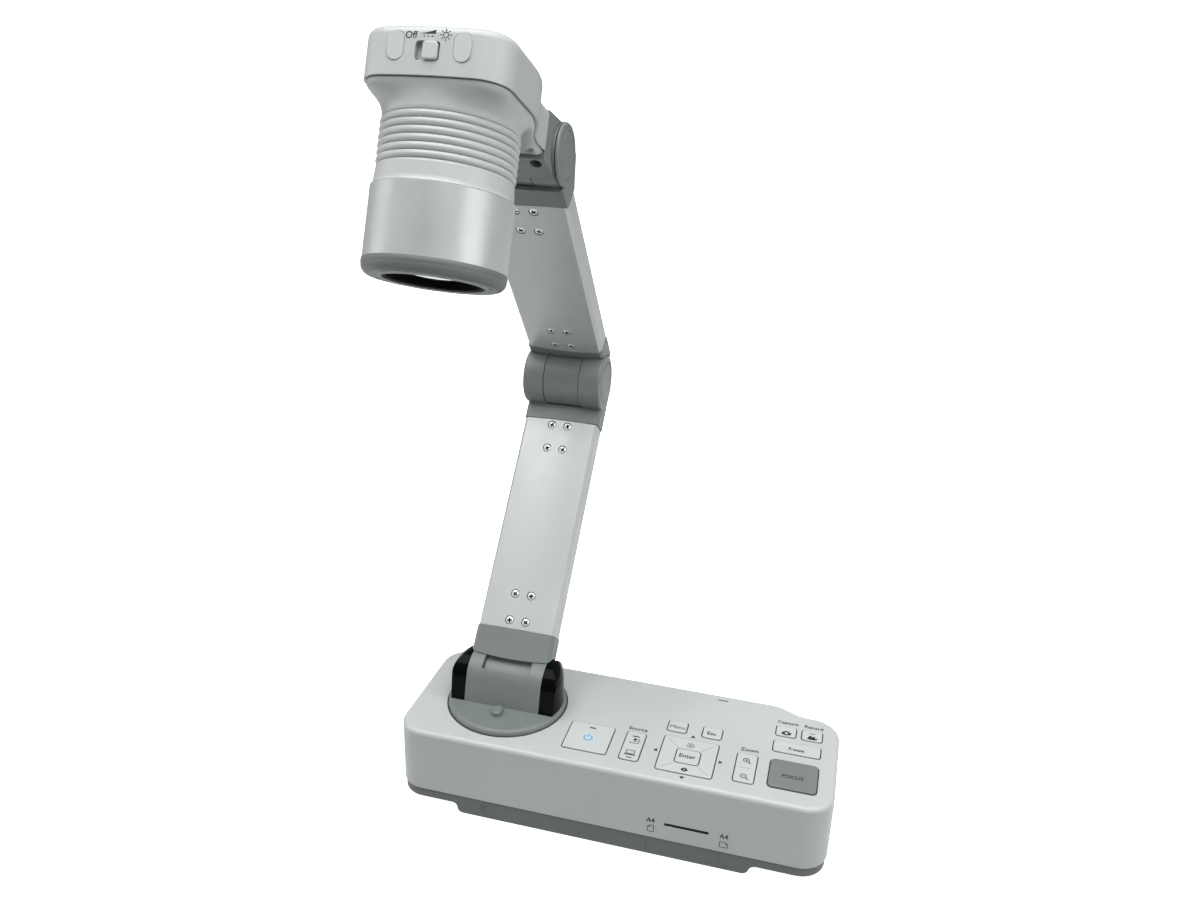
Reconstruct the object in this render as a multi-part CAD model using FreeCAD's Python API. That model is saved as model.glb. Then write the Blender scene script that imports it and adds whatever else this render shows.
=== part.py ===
import FreeCAD, Part
import math
import os

# Document camera, in millimetres. +X runs to the right along the base, +Y to its rear, +Z up.
# The origin is on the desk, under the axis of the turntable.

os.makedirs("parts", exist_ok=True)
V = FreeCAD.Vector
X_AXIS = V(1, 0, 0)
Y_AXIS = V(0, 1, 0)
Z_AXIS = V(0, 0, 1)

# ------------------------------------------------------------------ driving dimensions
RUN = 0.05  # radial clearance of a running fit
FIT = 0.03  # radial clearance of a pin in its fork
GAP = 0.45  # clearance between a key and its hole

BASE_LEFT = -58.0
BASE_RIGHT = 211.4
BASE_FRONT = -48.0
BASE_REAR = 48.3
BASE_STEP = 7.5  # the right end of the rear wall is set in by this much
STEP_START = 166.0
STEP_END = 192.0
CORNER = 17.0
TOP = 57.3  # height of the control panel above the desk
SPLIT = 14.5  # seam between the top case and the bottom cover
WALL = 2.2
TOP_THICK = 2.5
FOOT_HEIGHT = 1.0
END_RAISE = 6.8  # how much higher the cover's two ends are than its middle
FLOOR = 2.0

DISC_R = 38.3
DISC_SEAM = 0.7
DISC_RISE = 3.5
SHELF_TOP = 53.0
SHAFT_R = 16.0

BASE_PIVOT = V(0, 5.0, TOP + 14.5)
ELBOW = V(0, 123.7, TOP + 182.5)
HEAD_PIVOT = V(0, 18.5, TOP + 343.0)
LOWER_LEAN = 39.8  # degrees that the lower arm leans back from upright
UPPER_LEAN = -39.7  # the upper arm leans forward
HEAD_TILT = 20.95  # the lens faces down and this much forward
HEAD_ORIGIN = V(0, -99.6, TOP + 301.8)  # on the barrel's axis, at the seam above the bezel ring

SADDLE_R = 15.3
SADDLE_HALF = 24.9
SADDLE_FOOT = -13.6  # y where the bracket's sloping front meets the turntable
CHEEK_R = 36.7
CHEEK_TOP_R = 36.0
CHEEK_ROUND = 10.0

TONGUE_R = 12.0
TONGUE_HALF = 15.3
SLOT_HALF = 15.8
PIN_R = 3.5

ARM_HALF = 25.9
ARM_THICK = 13.5
ARM_CROWN = 1.6
SHEET = 1.6
EAR_HALF = 27.1

BARREL_R = 33.1
BARREL_TOP = 32.3
GRIP_R = 31.2
GRIP_LAND = 0.7
GRIP_PITCH = 3.47
GRIP_FIRST = 42.0
GRIP_COUNT = 7
GRIP_END = 64.0
CAP_SEAM = 75.5
CAP_TOP = 97.5

# Keys: centre x, centre y, width, depth, how far the key stands above the panel
KEYS = {
    "power_key": (60.7, -22.0, 27.4, 26.7, 0.6),
    "source_key": (88.7, -22.3, 11.6, 27.1, 0.6),
    "navigation_pad": (122.8, -22.1, 33.7, 32.7, 0.6),
    "menu_key": (111.7, 5.0, 11.8, 10.5, 0.6),
    "escape_key": (133.8, 4.8, 11.8, 10.7, 0.6),
    "zoom_key": (157.9, -22.4, 12.0, 26.5, 0.6),
    "capture_key": (178.3, 20.4, 12.2, 9.9, 0.6),
    "record_key": (194.4, 20.5, 12.3, 10.2, 0.6),
    "freeze_key": (186.2, 4.6, 28.5, 10.8, 0.6),
    "focus_key": (186.2, -21.8, 28.3, 25.6, 1.0),
}
ENTER = (123.0, -23.2, 14.3, 12.6, 1.0)
KEY_CORNER = 1.6
FOCUS_CORNER = 2.8
FLANGE_TOP = TOP - 3.3
FLANGE_THICK = 1.0
FLANGE_REACH = 1.0
KEY_BOARD_TOP = TOP - 9.8
BOARD_THICK = 1.6
SWITCH_HEIGHT = 3.4
POSTS = [(78.7, -22), (100.2, -22), (145.8, -22), (168, -22), (100.2, 5), (145.8, 5), (167.6, 5)]

MAIN_BOARD_TOP = 20.1
# Rear sockets: centre x, width, height
POWER_SOCKET = (30.0, 11.0, 11.0)
DIGITAL_SOCKET = (60.0, 15.2, 6.4)
VIDEO_SOCKETS = [(96.0, 31.0, 12.6), (133.0, 31.0, 12.6)]
USB_SOCKET = (159.0, 12.4, 11.4)
SOCKET_FACE = BASE_REAR - 0.4
CARD_SLOT_X = 128.7
CARD_SLOT_Z = TOP - 31.5
CARD_SLOT_WIDTH = 26.8
CARD_SLOT_HEIGHT = 2.3
CASE_SCREWS = [(-44, -34), (-44, 34), (72, -41), (72, 41), (196, -41), (196, 33.5)]
BOSS_R = 3.4
FEET_X = (0.0, 154.0)


# ------------------------------------------------------------------ helpers
def box(x0, x1, y0, y1, z0, z1):
    return Part.makeBox(x1 - x0, y1 - y0, z1 - z0, V(x0, y0, z0))


def rod(radius, start, end):
    return Part.makeCylinder(radius, (end - start).Length, start, end - start)


def rod_x(radius, x0, x1, y=0.0, z=0.0):
    return rod(radius, V(x0, y, z), V(x1, y, z))


def rod_z(radius, z0, z1, x=0.0, y=0.0):
    return rod(radius, V(x, y, z0), V(x, y, z1))


def both_sides(shape):
    """The shape and its mirror image across x = 0, as one group."""
    return Part.makeCompound([shape, shape.mirror(V(0, 0, 0), X_AXIS)])


def prism_z(wire, z0, z1):
    face = Part.Face(wire)
    face.translate(V(0, 0, z0))
    return face.extrude(V(0, 0, z1 - z0))


def prism_x(points, x0, x1):
    """A straight-sided outline of (y, z) points, drawn out along x."""
    corners = [V(x0, y, z) for y, z in points]
    return Part.Face(Part.makePolygon(corners + corners[:1])).extrude(V(x1 - x0, 0, 0))


def lathe(points):
    """A closed outline of (radius, z) points, turned about the z axis."""
    corners = [V(r, 0, z) for r, z in points]
    return Part.Face(Part.makePolygon(corners + corners[:1])).revolve(V(0, 0, 0), Z_AXIS, 360)


def lathe_edges(edges):
    return Part.Face(Part.Wire(edges)).revolve(V(0, 0, 0), Z_AXIS, 360)


def line(p, q):
    return Part.LineSegment(p, q).toShape()


def arc_through(p, middle, q):
    return Part.Arc(p, middle, q).toShape()


def corner_arc(centre, radius, start_deg, end_deg):
    angles = [math.radians(a) for a in (start_deg, (start_deg + end_deg) / 2, end_deg)]
    points = [centre + V(radius * math.cos(a), radius * math.sin(a), 0) for a in angles]
    return arc_through(*points)


def s_bend(p, q, along):
    """Two equal arcs from p to q, both ends running in the direction `along`."""
    chord = q - p
    run = chord.dot(along)
    side = chord - along * run
    radius = chord.Length ** 2 / (4 * side.Length)
    across = side / side.Length
    middle = (p + q) * 0.5
    edges = []
    for end, centre in ((p, p + across * radius), (q, q - across * radius)):
        outward = (end - centre) + (middle - centre)
        edges.append(arc_through(end, centre + outward * (radius / outward.Length), middle))
    return edges


def rounded_rect(cx, cy, width, depth, radius):
    hx = width / 2 - radius
    hy = depth / 2 - radius
    edges = []
    corners = [(hx, hy, 0), (-hx, hy, 90), (-hx, -hy, 180), (hx, -hy, 270)]
    for x, y, start in corners:
        edges.append(corner_arc(V(cx + x, cy + y, 0), radius, start, start + 90))
    ends = [(edge.Vertexes[-1].Point, edges[(i + 1) % 4].Vertexes[0].Point) for i, edge in enumerate(edges)]
    straights = [line(p, q) for p, q in ends if (p - q).Length > 1e-6]
    return Part.Wire(Part.__sortEdges__(edges + straights))


def key_corner(name):
    return FOCUS_CORNER if name == "focus_key" else KEY_CORNER


def rounded_block(cx, cy, width, depth, radius, z0, z1):
    return prism_z(rounded_rect(cx, cy, width, depth, radius), z0, z1)


def level_edges(shape, z, keep=lambda edge: True):
    """Edges that lie flat at height z."""
    return [
        edge
        for edge in shape.Edges
        if abs(edge.BoundBox.ZMin - z) < 1e-4 and abs(edge.BoundBox.ZMax - z) < 1e-4 and keep(edge)
    ]


def place(shape, lean_deg, origin):
    """Tilt a shape made upright at the origin, then carry it to its pivot."""
    tilted = shape.copy()
    tilted.rotate(V(0, 0, 0), X_AXIS, -lean_deg)
    tilted.translate(origin)
    return tilted


def save(name, shape):
    shape.exportStep("parts/" + name + ".step")


# ------------------------------------------------------------------ base
def base_outline(inset):
    left = BASE_LEFT + inset
    right = BASE_RIGHT - inset
    front = BASE_FRONT + inset
    rear = BASE_REAR - inset
    stepped = rear - BASE_STEP
    r = CORNER - inset
    edges = [
        line(V(left + r, front, 0), V(right - r, front, 0)),
        corner_arc(V(right - r, front + r, 0), r, -90, 0),
        line(V(right, front + r, 0), V(right, stepped - r, 0)),
        corner_arc(V(right - r, stepped - r, 0), r, 0, 90),
        line(V(right - r, stepped, 0), V(STEP_END, stepped, 0)),
        *s_bend(V(STEP_END, stepped, 0), V(STEP_START, rear, 0), V(-1, 0, 0)),
        line(V(STEP_START, rear, 0), V(left + r, rear, 0)),
        corner_arc(V(left + r, rear - r, 0), r, 90, 180),
        line(V(left, rear - r, 0), V(left, front + r, 0)),
        corner_arc(V(left + r, front + r, 0), r, 180, 270),
    ]
    return Part.Wire(Part.__sortEdges__(edges))


def lowered_section(lift):
    """Side outline of the bottom cover, drawn out along y: low in the middle, raised at both ends."""
    low = FOOT_HEIGHT + lift
    high = low + END_RAISE
    far_left = V(BASE_LEFT - 10, -60, high)
    far_right = V(BASE_RIGHT + 10, -60, high)
    drop = 60.0
    edges = [
        line(far_left, V(-20.5 + lift, -60, high)),
        *s_bend(V(-20.5 + lift, -60, high), V(-13.5 + lift, -60, low), X_AXIS),
        line(V(-13.5 + lift, -60, low), V(163.0 - lift, -60, low)),
        *s_bend(V(163.0 - lift, -60, low), V(171.5 - lift, -60, high), X_AXIS),
        line(V(171.5 - lift, -60, high), far_right),
        line(far_right, far_right + V(0, 0, drop)),
        line(far_right + V(0, 0, drop), far_left + V(0, 0, drop)),
        line(far_left + V(0, 0, drop), far_left),
    ]
    return Part.Face(Part.Wire(Part.__sortEdges__(edges))).extrude(V(0, 120, 0))


def floor_height(x):
    return FOOT_HEIGHT + FLOOR + (END_RAISE if x < -14 or x > 164 else 0.0)


def socket_hole(x, width, height):
    return box(x - width / 2 - 0.3, x + width / 2 + 0.3, 40, 52, MAIN_BOARD_TOP - 0.3, MAIN_BOARD_TOP + height + 0.3)


def make_base_top_case():
    outer = prism_z(base_outline(0), SPLIT, TOP)
    outer = outer.makeFillet(3.0, level_edges(outer, TOP))
    shell = outer.cut(prism_z(base_outline(WALL), SPLIT - 1, TOP - TOP_THICK))
    shelf = rod_z(DISC_R + 4.5, SHELF_TOP - 3, TOP - 1).cut(rod_z(DISC_R + 1.5, SHELF_TOP, TOP))
    shell = shell.fuse(shelf)
    for x, y in CASE_SCREWS:
        shell = shell.fuse(rod_z(BOSS_R, floor_height(x) + 0.1, TOP - TOP_THICK + 0.1, x, y))
    for x, y in POSTS:
        shell = shell.fuse(rod_z(2.0, KEY_BOARD_TOP, TOP - TOP_THICK + 0.1, x, y))
    cuts = [rod_z(DISC_R + DISC_SEAM, SHELF_TOP, TOP + 1), rod_z(20.0, SHELF_TOP - 4, TOP)]
    cuts += [rod_z(1.25, 0, 34, x, y) for x, y in CASE_SCREWS]
    cuts += [rod_z(1.1, KEY_BOARD_TOP - 1, KEY_BOARD_TOP + 5.5, x, y) for x, y in POSTS]
    for name, (cx, cy, width, depth, _) in KEYS.items():
        cuts.append(rounded_block(cx, cy, width + 2 * GAP, depth + 2 * GAP, key_corner(name) + GAP, TOP - 4, TOP + 1))
    cuts += [socket_hole(*sizes) for sizes in (POWER_SOCKET, DIGITAL_SOCKET, *VIDEO_SOCKETS, USB_SOCKET)]
    half = CARD_SLOT_WIDTH / 2
    low = CARD_SLOT_Z - CARD_SLOT_HEIGHT / 2
    cuts.append(box(CARD_SLOT_X - half, CARD_SLOT_X + half, -50, -44, low, low + CARD_SLOT_HEIGHT))
    return shell.cut(Part.makeCompound(cuts))


def make_base_bottom_cover():
    outer = prism_z(base_outline(0.9), 0, SPLIT).common(lowered_section(0))
    inner = prism_z(base_outline(0.9 + FLOOR), 0, SPLIT + 1).common(lowered_section(FLOOR))
    lip = prism_z(base_outline(WALL + 0.1), SPLIT - 2, SPLIT + 2.5)
    lip = lip.cut(prism_z(base_outline(WALL + 1.3), SPLIT - 3, SPLIT + 3))
    cover = outer.cut(inner).fuse(lip)
    for x, y in CASE_SCREWS:
        cover = cover.cut(rod_z(BOSS_R + 0.5, floor_height(x), SPLIT + 4, x, y))
        cover = cover.cut(rod_z(1.6, 0, SPLIT, x, y))
        cover = cover.cut(rod_z(3.0, 0, floor_height(x) - 1.0, x, y))
    for x in FEET_X:
        cover = cover.cut(rounded_block(x, 0, 10.2, 80.2, 5.0, 0, FOOT_HEIGHT + 0.8))
    for x, y in main_board_posts():
        cover = cover.fuse(rod_z(2.4, FOOT_HEIGHT + 1, MAIN_BOARD_TOP - BOARD_THICK, x, y))
    return cover


def main_board_posts():
    return [(44, -20), (44, 36), (104, -20), (150, -20), (150, 36)]


def make_rubber_feet():
    strips = [rounded_block(x, 0, 10, 80, 4.9, 0, FOOT_HEIGHT + 0.8) for x in FEET_X]
    return Part.makeCompound(strips)


def screw_up(x, y, z, head_r, shaft_r, length):
    """A screw whose head's underside faces up at height z."""
    head = rod_z(head_r, z - 1.2, z, x, y)
    recess = box(x - 0.4, x + 0.4, y - 1.4, y + 1.4, z - 1.3, z - 0.6)
    recess = recess.fuse(box(x - 1.4, x + 1.4, y - 0.4, y + 0.4, z - 1.3, z - 0.6))
    return head.fuse(rod_z(shaft_r, z - 0.1, z + length, x, y)).cut(recess)


def make_case_screws():
    screws = [screw_up(x, y, floor_height(x) - 1.0, 2.6, 1.25, 14) for x, y in CASE_SCREWS]
    return Part.makeCompound(screws)


def make_ballast_plate():
    plate = rounded_block(76, 0, 108, 70, 3, FOOT_HEIGHT + FLOOR, FOOT_HEIGHT + FLOOR + 8)
    for x, y in main_board_posts():
        plate = plate.cut(rod_z(3.0, 0, 20, x, y))
    return plate


def make_main_board():
    board = box(24, 166, -26, 44.0, MAIN_BOARD_TOP - BOARD_THICK, MAIN_BOARD_TOP)
    for x, y in CASE_SCREWS:
        board = board.cut(rod_z(BOSS_R + 0.4, 10, 30, x, y))
    for x, y, width, height in ((70, 0, 22, 2.4), (108, -6, 17, 2.0), (138, 2, 12, 1.8), (48, 4, 10, 6.0)):
        chip = box(x - width / 2, x + width / 2, y - width / 2, y + width / 2, MAIN_BOARD_TOP, MAIN_BOARD_TOP + height)
        board = board.fuse(chip)
    return board


def make_power_socket(x, width, height):
    z = MAIN_BOARD_TOP
    block = box(x - width / 2, x + width / 2, SOCKET_FACE - 14, SOCKET_FACE, z, z + height)
    middle = z + height / 2
    block = block.cut(rod(3.2, V(x, SOCKET_FACE - 10, middle), V(x, SOCKET_FACE + 1, middle)))
    return block.fuse(rod(1.0, V(x, SOCKET_FACE - 10.5, middle), V(x, SOCKET_FACE - 1.5, middle)))


def make_video_socket(x, width, height):
    """A shell with fifteen pin holes, and a threaded post at each side."""
    z = MAIN_BOARD_TOP
    middle = z + height / 2
    block = box(x - width / 2, x + width / 2, SOCKET_FACE - 14, SOCKET_FACE, z, z + height)
    block = block.fuse(box(x - 8.4, x + 8.4, SOCKET_FACE - 2, SOCKET_FACE + 3.6, middle - 4.2, middle + 4.2))
    holes = []
    for row in range(3):
        for column in range(5):
            hole_x = x + (column - 2) * 2.3 + (0.6 if row == 1 else 0.0)
            hole_z = middle + (row - 1) * 2.1
            holes.append(rod(0.55, V(hole_x, SOCKET_FACE - 1, hole_z), V(hole_x, SOCKET_FACE + 5, hole_z)))
    for side in (-1, 1):
        post_x = x + side * 12.5
        holes.append(rod(1.5, V(post_x, SOCKET_FACE - 6, middle), V(post_x, SOCKET_FACE + 1, middle)))
    return block.cut(Part.makeCompound(holes))


def make_tongue_socket(x, width, height):
    """A thin metal shell round a hollow, with a contact tongue across its middle."""
    rim = 0.9
    z = MAIN_BOARD_TOP
    middle = z + height / 2
    block = box(x - width / 2, x + width / 2, SOCKET_FACE - 14, SOCKET_FACE, z, z + height)
    hollow_half = width / 2 - rim
    hollow = box(x - hollow_half, x + hollow_half, SOCKET_FACE - 9, SOCKET_FACE + 1, z + rim, z + height - rim)
    tongue_half = width / 2 - 3.0
    tongue = box(x - tongue_half, x + tongue_half, SOCKET_FACE - 9.5, SOCKET_FACE - 1.5, middle - 0.7, middle + 0.7)
    return block.cut(hollow).fuse(tongue)


def make_card_socket():
    half = CARD_SLOT_WIDTH / 2 + 1.5
    low = CARD_SLOT_Z - CARD_SLOT_HEIGHT / 2
    cage = box(CARD_SLOT_X - half, CARD_SLOT_X + half, BASE_FRONT + WALL + 0.1, -16, low - 0.6, low + 3.0)
    inside = CARD_SLOT_WIDTH / 2 - 0.7
    return cage.cut(box(CARD_SLOT_X - inside, CARD_SLOT_X + inside, -50, -18, low + 0.1, low + CARD_SLOT_HEIGHT - 0.1))


def make_key_board():
    board = box(44, 204, -40, 28, KEY_BOARD_TOP - BOARD_THICK, KEY_BOARD_TOP)
    for x, y in CASE_SCREWS:
        board = board.cut(rod_z(BOSS_R + 0.4, 40, 50, x, y))
    for x, y in POSTS:
        board = board.cut(rod_z(1.25, KEY_BOARD_TOP - 3, KEY_BOARD_TOP + 1, x, y))
    return board


def make_key_board_screws():
    screws = [screw_up(x, y, KEY_BOARD_TOP - BOARD_THICK, 2.1, 1.1, 6) for x, y in POSTS]
    return Part.makeCompound(screws)


def switch_places():
    """Where the push switches stand on the key board: one under a plain key, two or four under a rocker."""
    places = [(ENTER[0], ENTER[1])]
    for name, (cx, cy, _, depth, _) in KEYS.items():
        reach = depth / 2 - 3.5
        if name == "navigation_pad":
            places += [(cx, cy - 12.8), (cx, cy + 12.8), (cx - 12.8, cy), (cx + 12.8, cy)]
        elif name in ("source_key", "zoom_key"):
            places += [(cx, cy - reach), (cx, cy + reach)]
        else:
            places.append((cx, cy))
    return places


def make_key_switches():
    switches = []
    for x, y in switch_places():
        body = box(x - 2.2, x + 2.2, y - 2.2, y + 2.2, KEY_BOARD_TOP, KEY_BOARD_TOP + SWITCH_HEIGHT - 0.9)
        switches.append(body.fuse(rod_z(1.2, KEY_BOARD_TOP + 1, KEY_BOARD_TOP + SWITCH_HEIGHT, x, y)))
    return Part.makeCompound(switches)


def key_cap(cx, cy, width, depth, proud, flange_top, corner=KEY_CORNER):
    top = TOP + proud
    cap = rounded_block(cx, cy, width, depth, corner, flange_top - 0.5, top)
    cap = cap.makeFillet(0.4, level_edges(cap, top))
    reach = 2 * FLANGE_REACH
    flange = rounded_block(cx, cy, width + reach, depth + reach, KEY_CORNER, flange_top - FLANGE_THICK, flange_top)
    return cap.fuse(flange)


def make_key(name):
    cx, cy, width, depth, proud = KEYS[name]
    key = key_cap(cx, cy, width, depth, proud, FLANGE_TOP, key_corner(name))
    stem_end = KEY_BOARD_TOP + SWITCH_HEIGHT + 0.7
    for x, y in switch_places():
        inside = abs(x - cx) < width / 2 and abs(y - cy) < depth / 2
        if inside and (x, y) != (ENTER[0], ENTER[1]):
            key = key.fuse(rod_z(1.5, stem_end, FLANGE_TOP - 0.5, x, y))
    if name == "navigation_pad":
        ex, ey, ew, ed, _ = ENTER
        key = key.cut(rounded_block(ex, ey, ew + 2 * GAP, ed + 2 * GAP, KEY_CORNER + GAP, 40, TOP + 3))
    return key


def make_enter_key():
    cx, cy, width, depth, proud = ENTER
    return key_cap(cx, cy, width, depth, proud, FLANGE_TOP - 1.4)


# ------------------------------------------------------------------ turntable
def make_turntable_disc():
    top = TOP + DISC_RISE
    disc = rod_z(DISC_R, SHELF_TOP + 0.9, top)
    disc = disc.makeFillet(3.0, level_edges(disc, top))
    disc = disc.fuse(rod_z(SHAFT_R, SHELF_TOP - 14, SHELF_TOP + 2))
    nub = rounded_block(0, -20.0, 6.2, 9.0, 3.0, top - 0.5, top + 3.2)
    nub = nub.makeFillet(1.2, level_edges(nub, top + 3.2))
    tongue_well = rod_x(TONGUE_R + 0.4, -SLOT_HALF, SLOT_HALF, BASE_PIVOT.y, BASE_PIVOT.z)
    return disc.fuse(nub).cut(rod_z(9.0, 20, top + 1)).cut(tongue_well)


def make_swivel_bush():
    return rod_z(20.0, SHELF_TOP - 3, SHELF_TOP).cut(rod_z(SHAFT_R + RUN, SHELF_TOP - 4, SHELF_TOP + 1))


def make_swivel_nut():
    nut = rod_z(24.0, SHELF_TOP - 9, SHELF_TOP - 3.4)
    nut = nut.cut(rod_z(SHAFT_R, SHELF_TOP - 12, SHELF_TOP))
    for k in range(4):
        angle = math.radians(45 + 90 * k)
        x = 24 * math.cos(angle)
        y = 24 * math.sin(angle)
        nut = nut.cut(rod_z(2.5, SHELF_TOP - 12, SHELF_TOP, x, y))
    return nut


def saddle_profile():
    """Side outline of the hinge bracket: sloping front, round top about the pivot, upright rear."""
    foot = TOP + DISC_RISE
    y = BASE_PIVOT.y
    z = BASE_PIVOT.z
    front_foot = V(0, SADDLE_FOOT, foot)
    to_foot = front_foot - BASE_PIVOT
    tangent = math.atan2(to_foot.z, to_foot.y) + 2 * math.pi - math.acos(SADDLE_R / to_foot.Length)
    front_top = V(0, y + SADDLE_R * math.cos(tangent), z + SADDLE_R * math.sin(tangent))
    crest = V(0, y + SADDLE_R * math.cos(tangent / 2), z + SADDLE_R * math.sin(tangent / 2))
    rear_top = V(0, y + SADDLE_R, z)
    rear_foot = V(0, y + SADDLE_R, foot)
    edges = [
        line(front_foot, front_top),
        arc_through(front_top, crest, rear_top),
        line(rear_top, rear_foot),
        line(rear_foot, front_foot),
    ]
    return Part.Face(Part.Wire(edges))


def make_hinge_bracket():
    half = saddle_profile()
    half.translate(V(-SADDLE_HALF, 0, 0))
    bracket = half.extrude(V(2 * SADDLE_HALF, 0, 0))
    y = BASE_PIVOT.y
    z = BASE_PIVOT.z
    well = rod_x(TONGUE_R + 0.4, -SLOT_HALF, SLOT_HALF, y, z)
    reach = 40.0
    lip = math.radians(137)
    sweep = [(y, z - 5), (y + reach, z - 5), (y + reach, z + reach), (y, z + reach)]
    sweep += [(y + reach * math.cos(lip), z + reach * math.sin(lip)), (y, z)]
    bracket = bracket.cut(well).cut(prism_x(sweep, -SLOT_HALF, SLOT_HALF))
    bracket = bracket.cut(rod_x(PIN_R, -SADDLE_HALF - 1, SADDLE_HALF + 1, y, z))
    return bracket.cut(rod_z(6.0, TOP, z - 6))


def make_black_cheeks():
    """Glossy cheeks: the bracket's side outline, rounded over and cut to the turntable's circle."""
    face = saddle_profile()
    face.translate(V(SADDLE_HALF + 0.1, 0, 0))
    crest = BASE_PIVOT.z + SADDLE_R
    shoulder = crest - CHEEK_ROUND
    slant = math.sqrt(0.5) * CHEEK_ROUND
    inner = CHEEK_TOP_R - CHEEK_ROUND
    dome = lathe_edges([
        line(V(0, 0, TOP), V(CHEEK_R, 0, TOP)),
        line(V(CHEEK_R, 0, TOP), V(CHEEK_TOP_R, 0, shoulder)),
        arc_through(V(CHEEK_TOP_R, 0, shoulder), V(inner + slant, 0, shoulder + slant), V(inner, 0, crest + 0.01)),
        line(V(inner, 0, crest + 0.01), V(0, 0, crest + 0.01)),
        line(V(0, 0, crest + 0.01), V(0, 0, TOP)),
    ])
    return both_sides(face.extrude(V(16, 0, 0)).common(dome))


def hinge_pin(radius, half, centre):
    pin = rod_x(radius, -half, half, centre.y, centre.z)
    return pin.makeChamfer(0.6, [e for e in pin.Edges if e.Closed])


def hinge_washers(inner, outer, x0, x1, centre):
    ring = rod_x(outer, x0, x1, centre.y, centre.z).cut(rod_x(inner, x0 - 1, x1 + 1, centre.y, centre.z))
    return both_sides(ring)


# ------------------------------------------------------------------ arms
# Each arm is made upright: its lower pivot at the origin, its front face towards -y, its length along z.
class Arm:
    def __init__(self, front, start, end, fork_y, fork_z, tongue_r, tongue_half, clear_r, pin_r, rows):
        self.front = front  # y of the front face at the side edges
        self.back = front + ARM_THICK
        self.start = start  # the channel's lower end
        self.end = end  # the channel's upper end
        self.fork_y = fork_y
        self.fork_z = fork_z
        self.tongue_r = tongue_r
        self.tongue_half = tongue_half
        self.clear_r = clear_r  # the full-width foot stays outside this radius from the lower pivot
        self.pin_r = pin_r
        self.rows = (start + rows[0], start + rows[1], end - rows[2], end - rows[3])


LOWER = Arm(-10.3, 29.3, 175.6, -16.344, 205.052, TONGUE_R, TONGUE_HALF, SADDLE_R + 0.5, PIN_R, (5.3, 22.8, 21.1, 4.1))
UPPER = Arm(8.0, 24.0, 165.5, 21.6, 190.7, 18.4, 12.2, 19.3, 4.0, (5.7, 21.5, 21.5, 5.2))
ELBOW_R = 18.8
ELBOW_SLOT = 12.6
HEAD_BARREL_R = 17.2
HEAD_TONGUE_HALF = 10.4
HEAD_SLOT = 10.9
FITTING_PROUD = 0.6  # how far the fittings stand out past the channel
INSERT = 34.0  # how far a fitting reaches into the channel
SCREW_X = 5.5


def arm_section(arm, inset, back_inset):
    """Cross-section in x and y: crowned front, straight sides, flat back."""
    half = ARM_HALF - inset
    front = arm.front + inset
    back = arm.back - back_inset
    corner = 1.8 - min(max(inset, 0.0), 1.2)
    crest = V(0, front - ARM_CROWN, 0)
    left = V(-half + corner, front - 0.25, 0)
    right = V(half - corner, front - 0.25, 0)
    edges = [
        arc_through(left, crest, right),
        line(right, V(half, front + corner, 0)),
        line(V(half, front + corner, 0), V(half, back, 0)),
        line(V(half, back, 0), V(-half, back, 0)),
        line(V(-half, back, 0), V(-half, front + corner, 0)),
        line(V(-half, front + corner, 0), left),
    ]
    return Part.Wire(edges)


def screw_places(arm):
    return [(side * SCREW_X, z) for z in arm.rows for side in (-1, 1)]


def make_channel(arm):
    channel = prism_z(arm_section(arm, 0, 0), arm.start, arm.end)
    channel = channel.cut(prism_z(arm_section(arm, SHEET, -1.0), arm.start - 1, arm.end + 1))
    for x, z in screw_places(arm):
        channel = channel.cut(rod(2.9, V(x, arm.front - 6, z), V(x, arm.front + 4, z)))
    return channel


def make_back_cover(arm):
    half = ARM_HALF - SHEET - 0.15
    cover = box(-half, half, arm.back - 1.8, arm.back - 0.2, arm.start + 0.2, arm.end - 0.2)
    ribs = [
        box(x - 0.6, x + 0.6, arm.back - 4.0, arm.back - 1.7, arm.start + INSERT + 2, arm.end - INSERT - 2)
        for x in (-14, 0, 14)
    ]
    return cover.fuse(ribs)


def fitting_insert(arm, z0, z1):
    """The part of a fitting that fills the front half of the channel."""
    section = prism_z(arm_section(arm, SHEET + 0.1, 1.0), z0, z1)
    return section.common(box(-30, 30, arm.front - 6, arm.back - 3.6, z0, z1))


def screw_shafts(arm, low_end):
    rows = arm.rows[:2] if low_end else arm.rows[2:]
    shafts = []
    for z in rows:
        for side in (-1, 1):
            shafts.append(rod(1.25, V(side * SCREW_X, arm.front - 6, z), V(side * SCREW_X, arm.front + 7.4, z)))
    return Part.makeCompound(shafts)


def make_arm_foot(arm):
    """Lower fitting: a tongue round the lower pivot, a full-width block, and an insert in the channel."""
    block = prism_z(arm_section(arm, -FITTING_PROUD, 0), 4.0, arm.start - 0.15)
    block = block.cut(rod_x(arm.clear_r, -40, 40))
    neck_front = arm.front + 2.0
    neck_back = arm.back
    if neck_front > 0:
        neck_front = -2.0
    neck = box(-arm.tongue_half, arm.tongue_half, neck_front, neck_back, 0, arm.start - 2)
    if arm.front > 0:
        web = prism_x([(-arm.tongue_r * 0.9, 0), (arm.back, 0), (arm.back, 16), (arm.front, 21), (arm.front, 17)],
                      -arm.tongue_half, arm.tongue_half)
        neck = neck.common(box(-40, 40, arm.front, 60, -5, 60)).fuse(web)
    foot = block.fuse(rod_x(arm.tongue_r, -arm.tongue_half, arm.tongue_half)).fuse(neck)
    foot = foot.fuse(fitting_insert(arm, arm.start - 1, arm.start + INSERT))
    foot = foot.cut(rod_x(arm.pin_r + RUN, -40, 40))
    return foot.cut(screw_shafts(arm, True))


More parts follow.
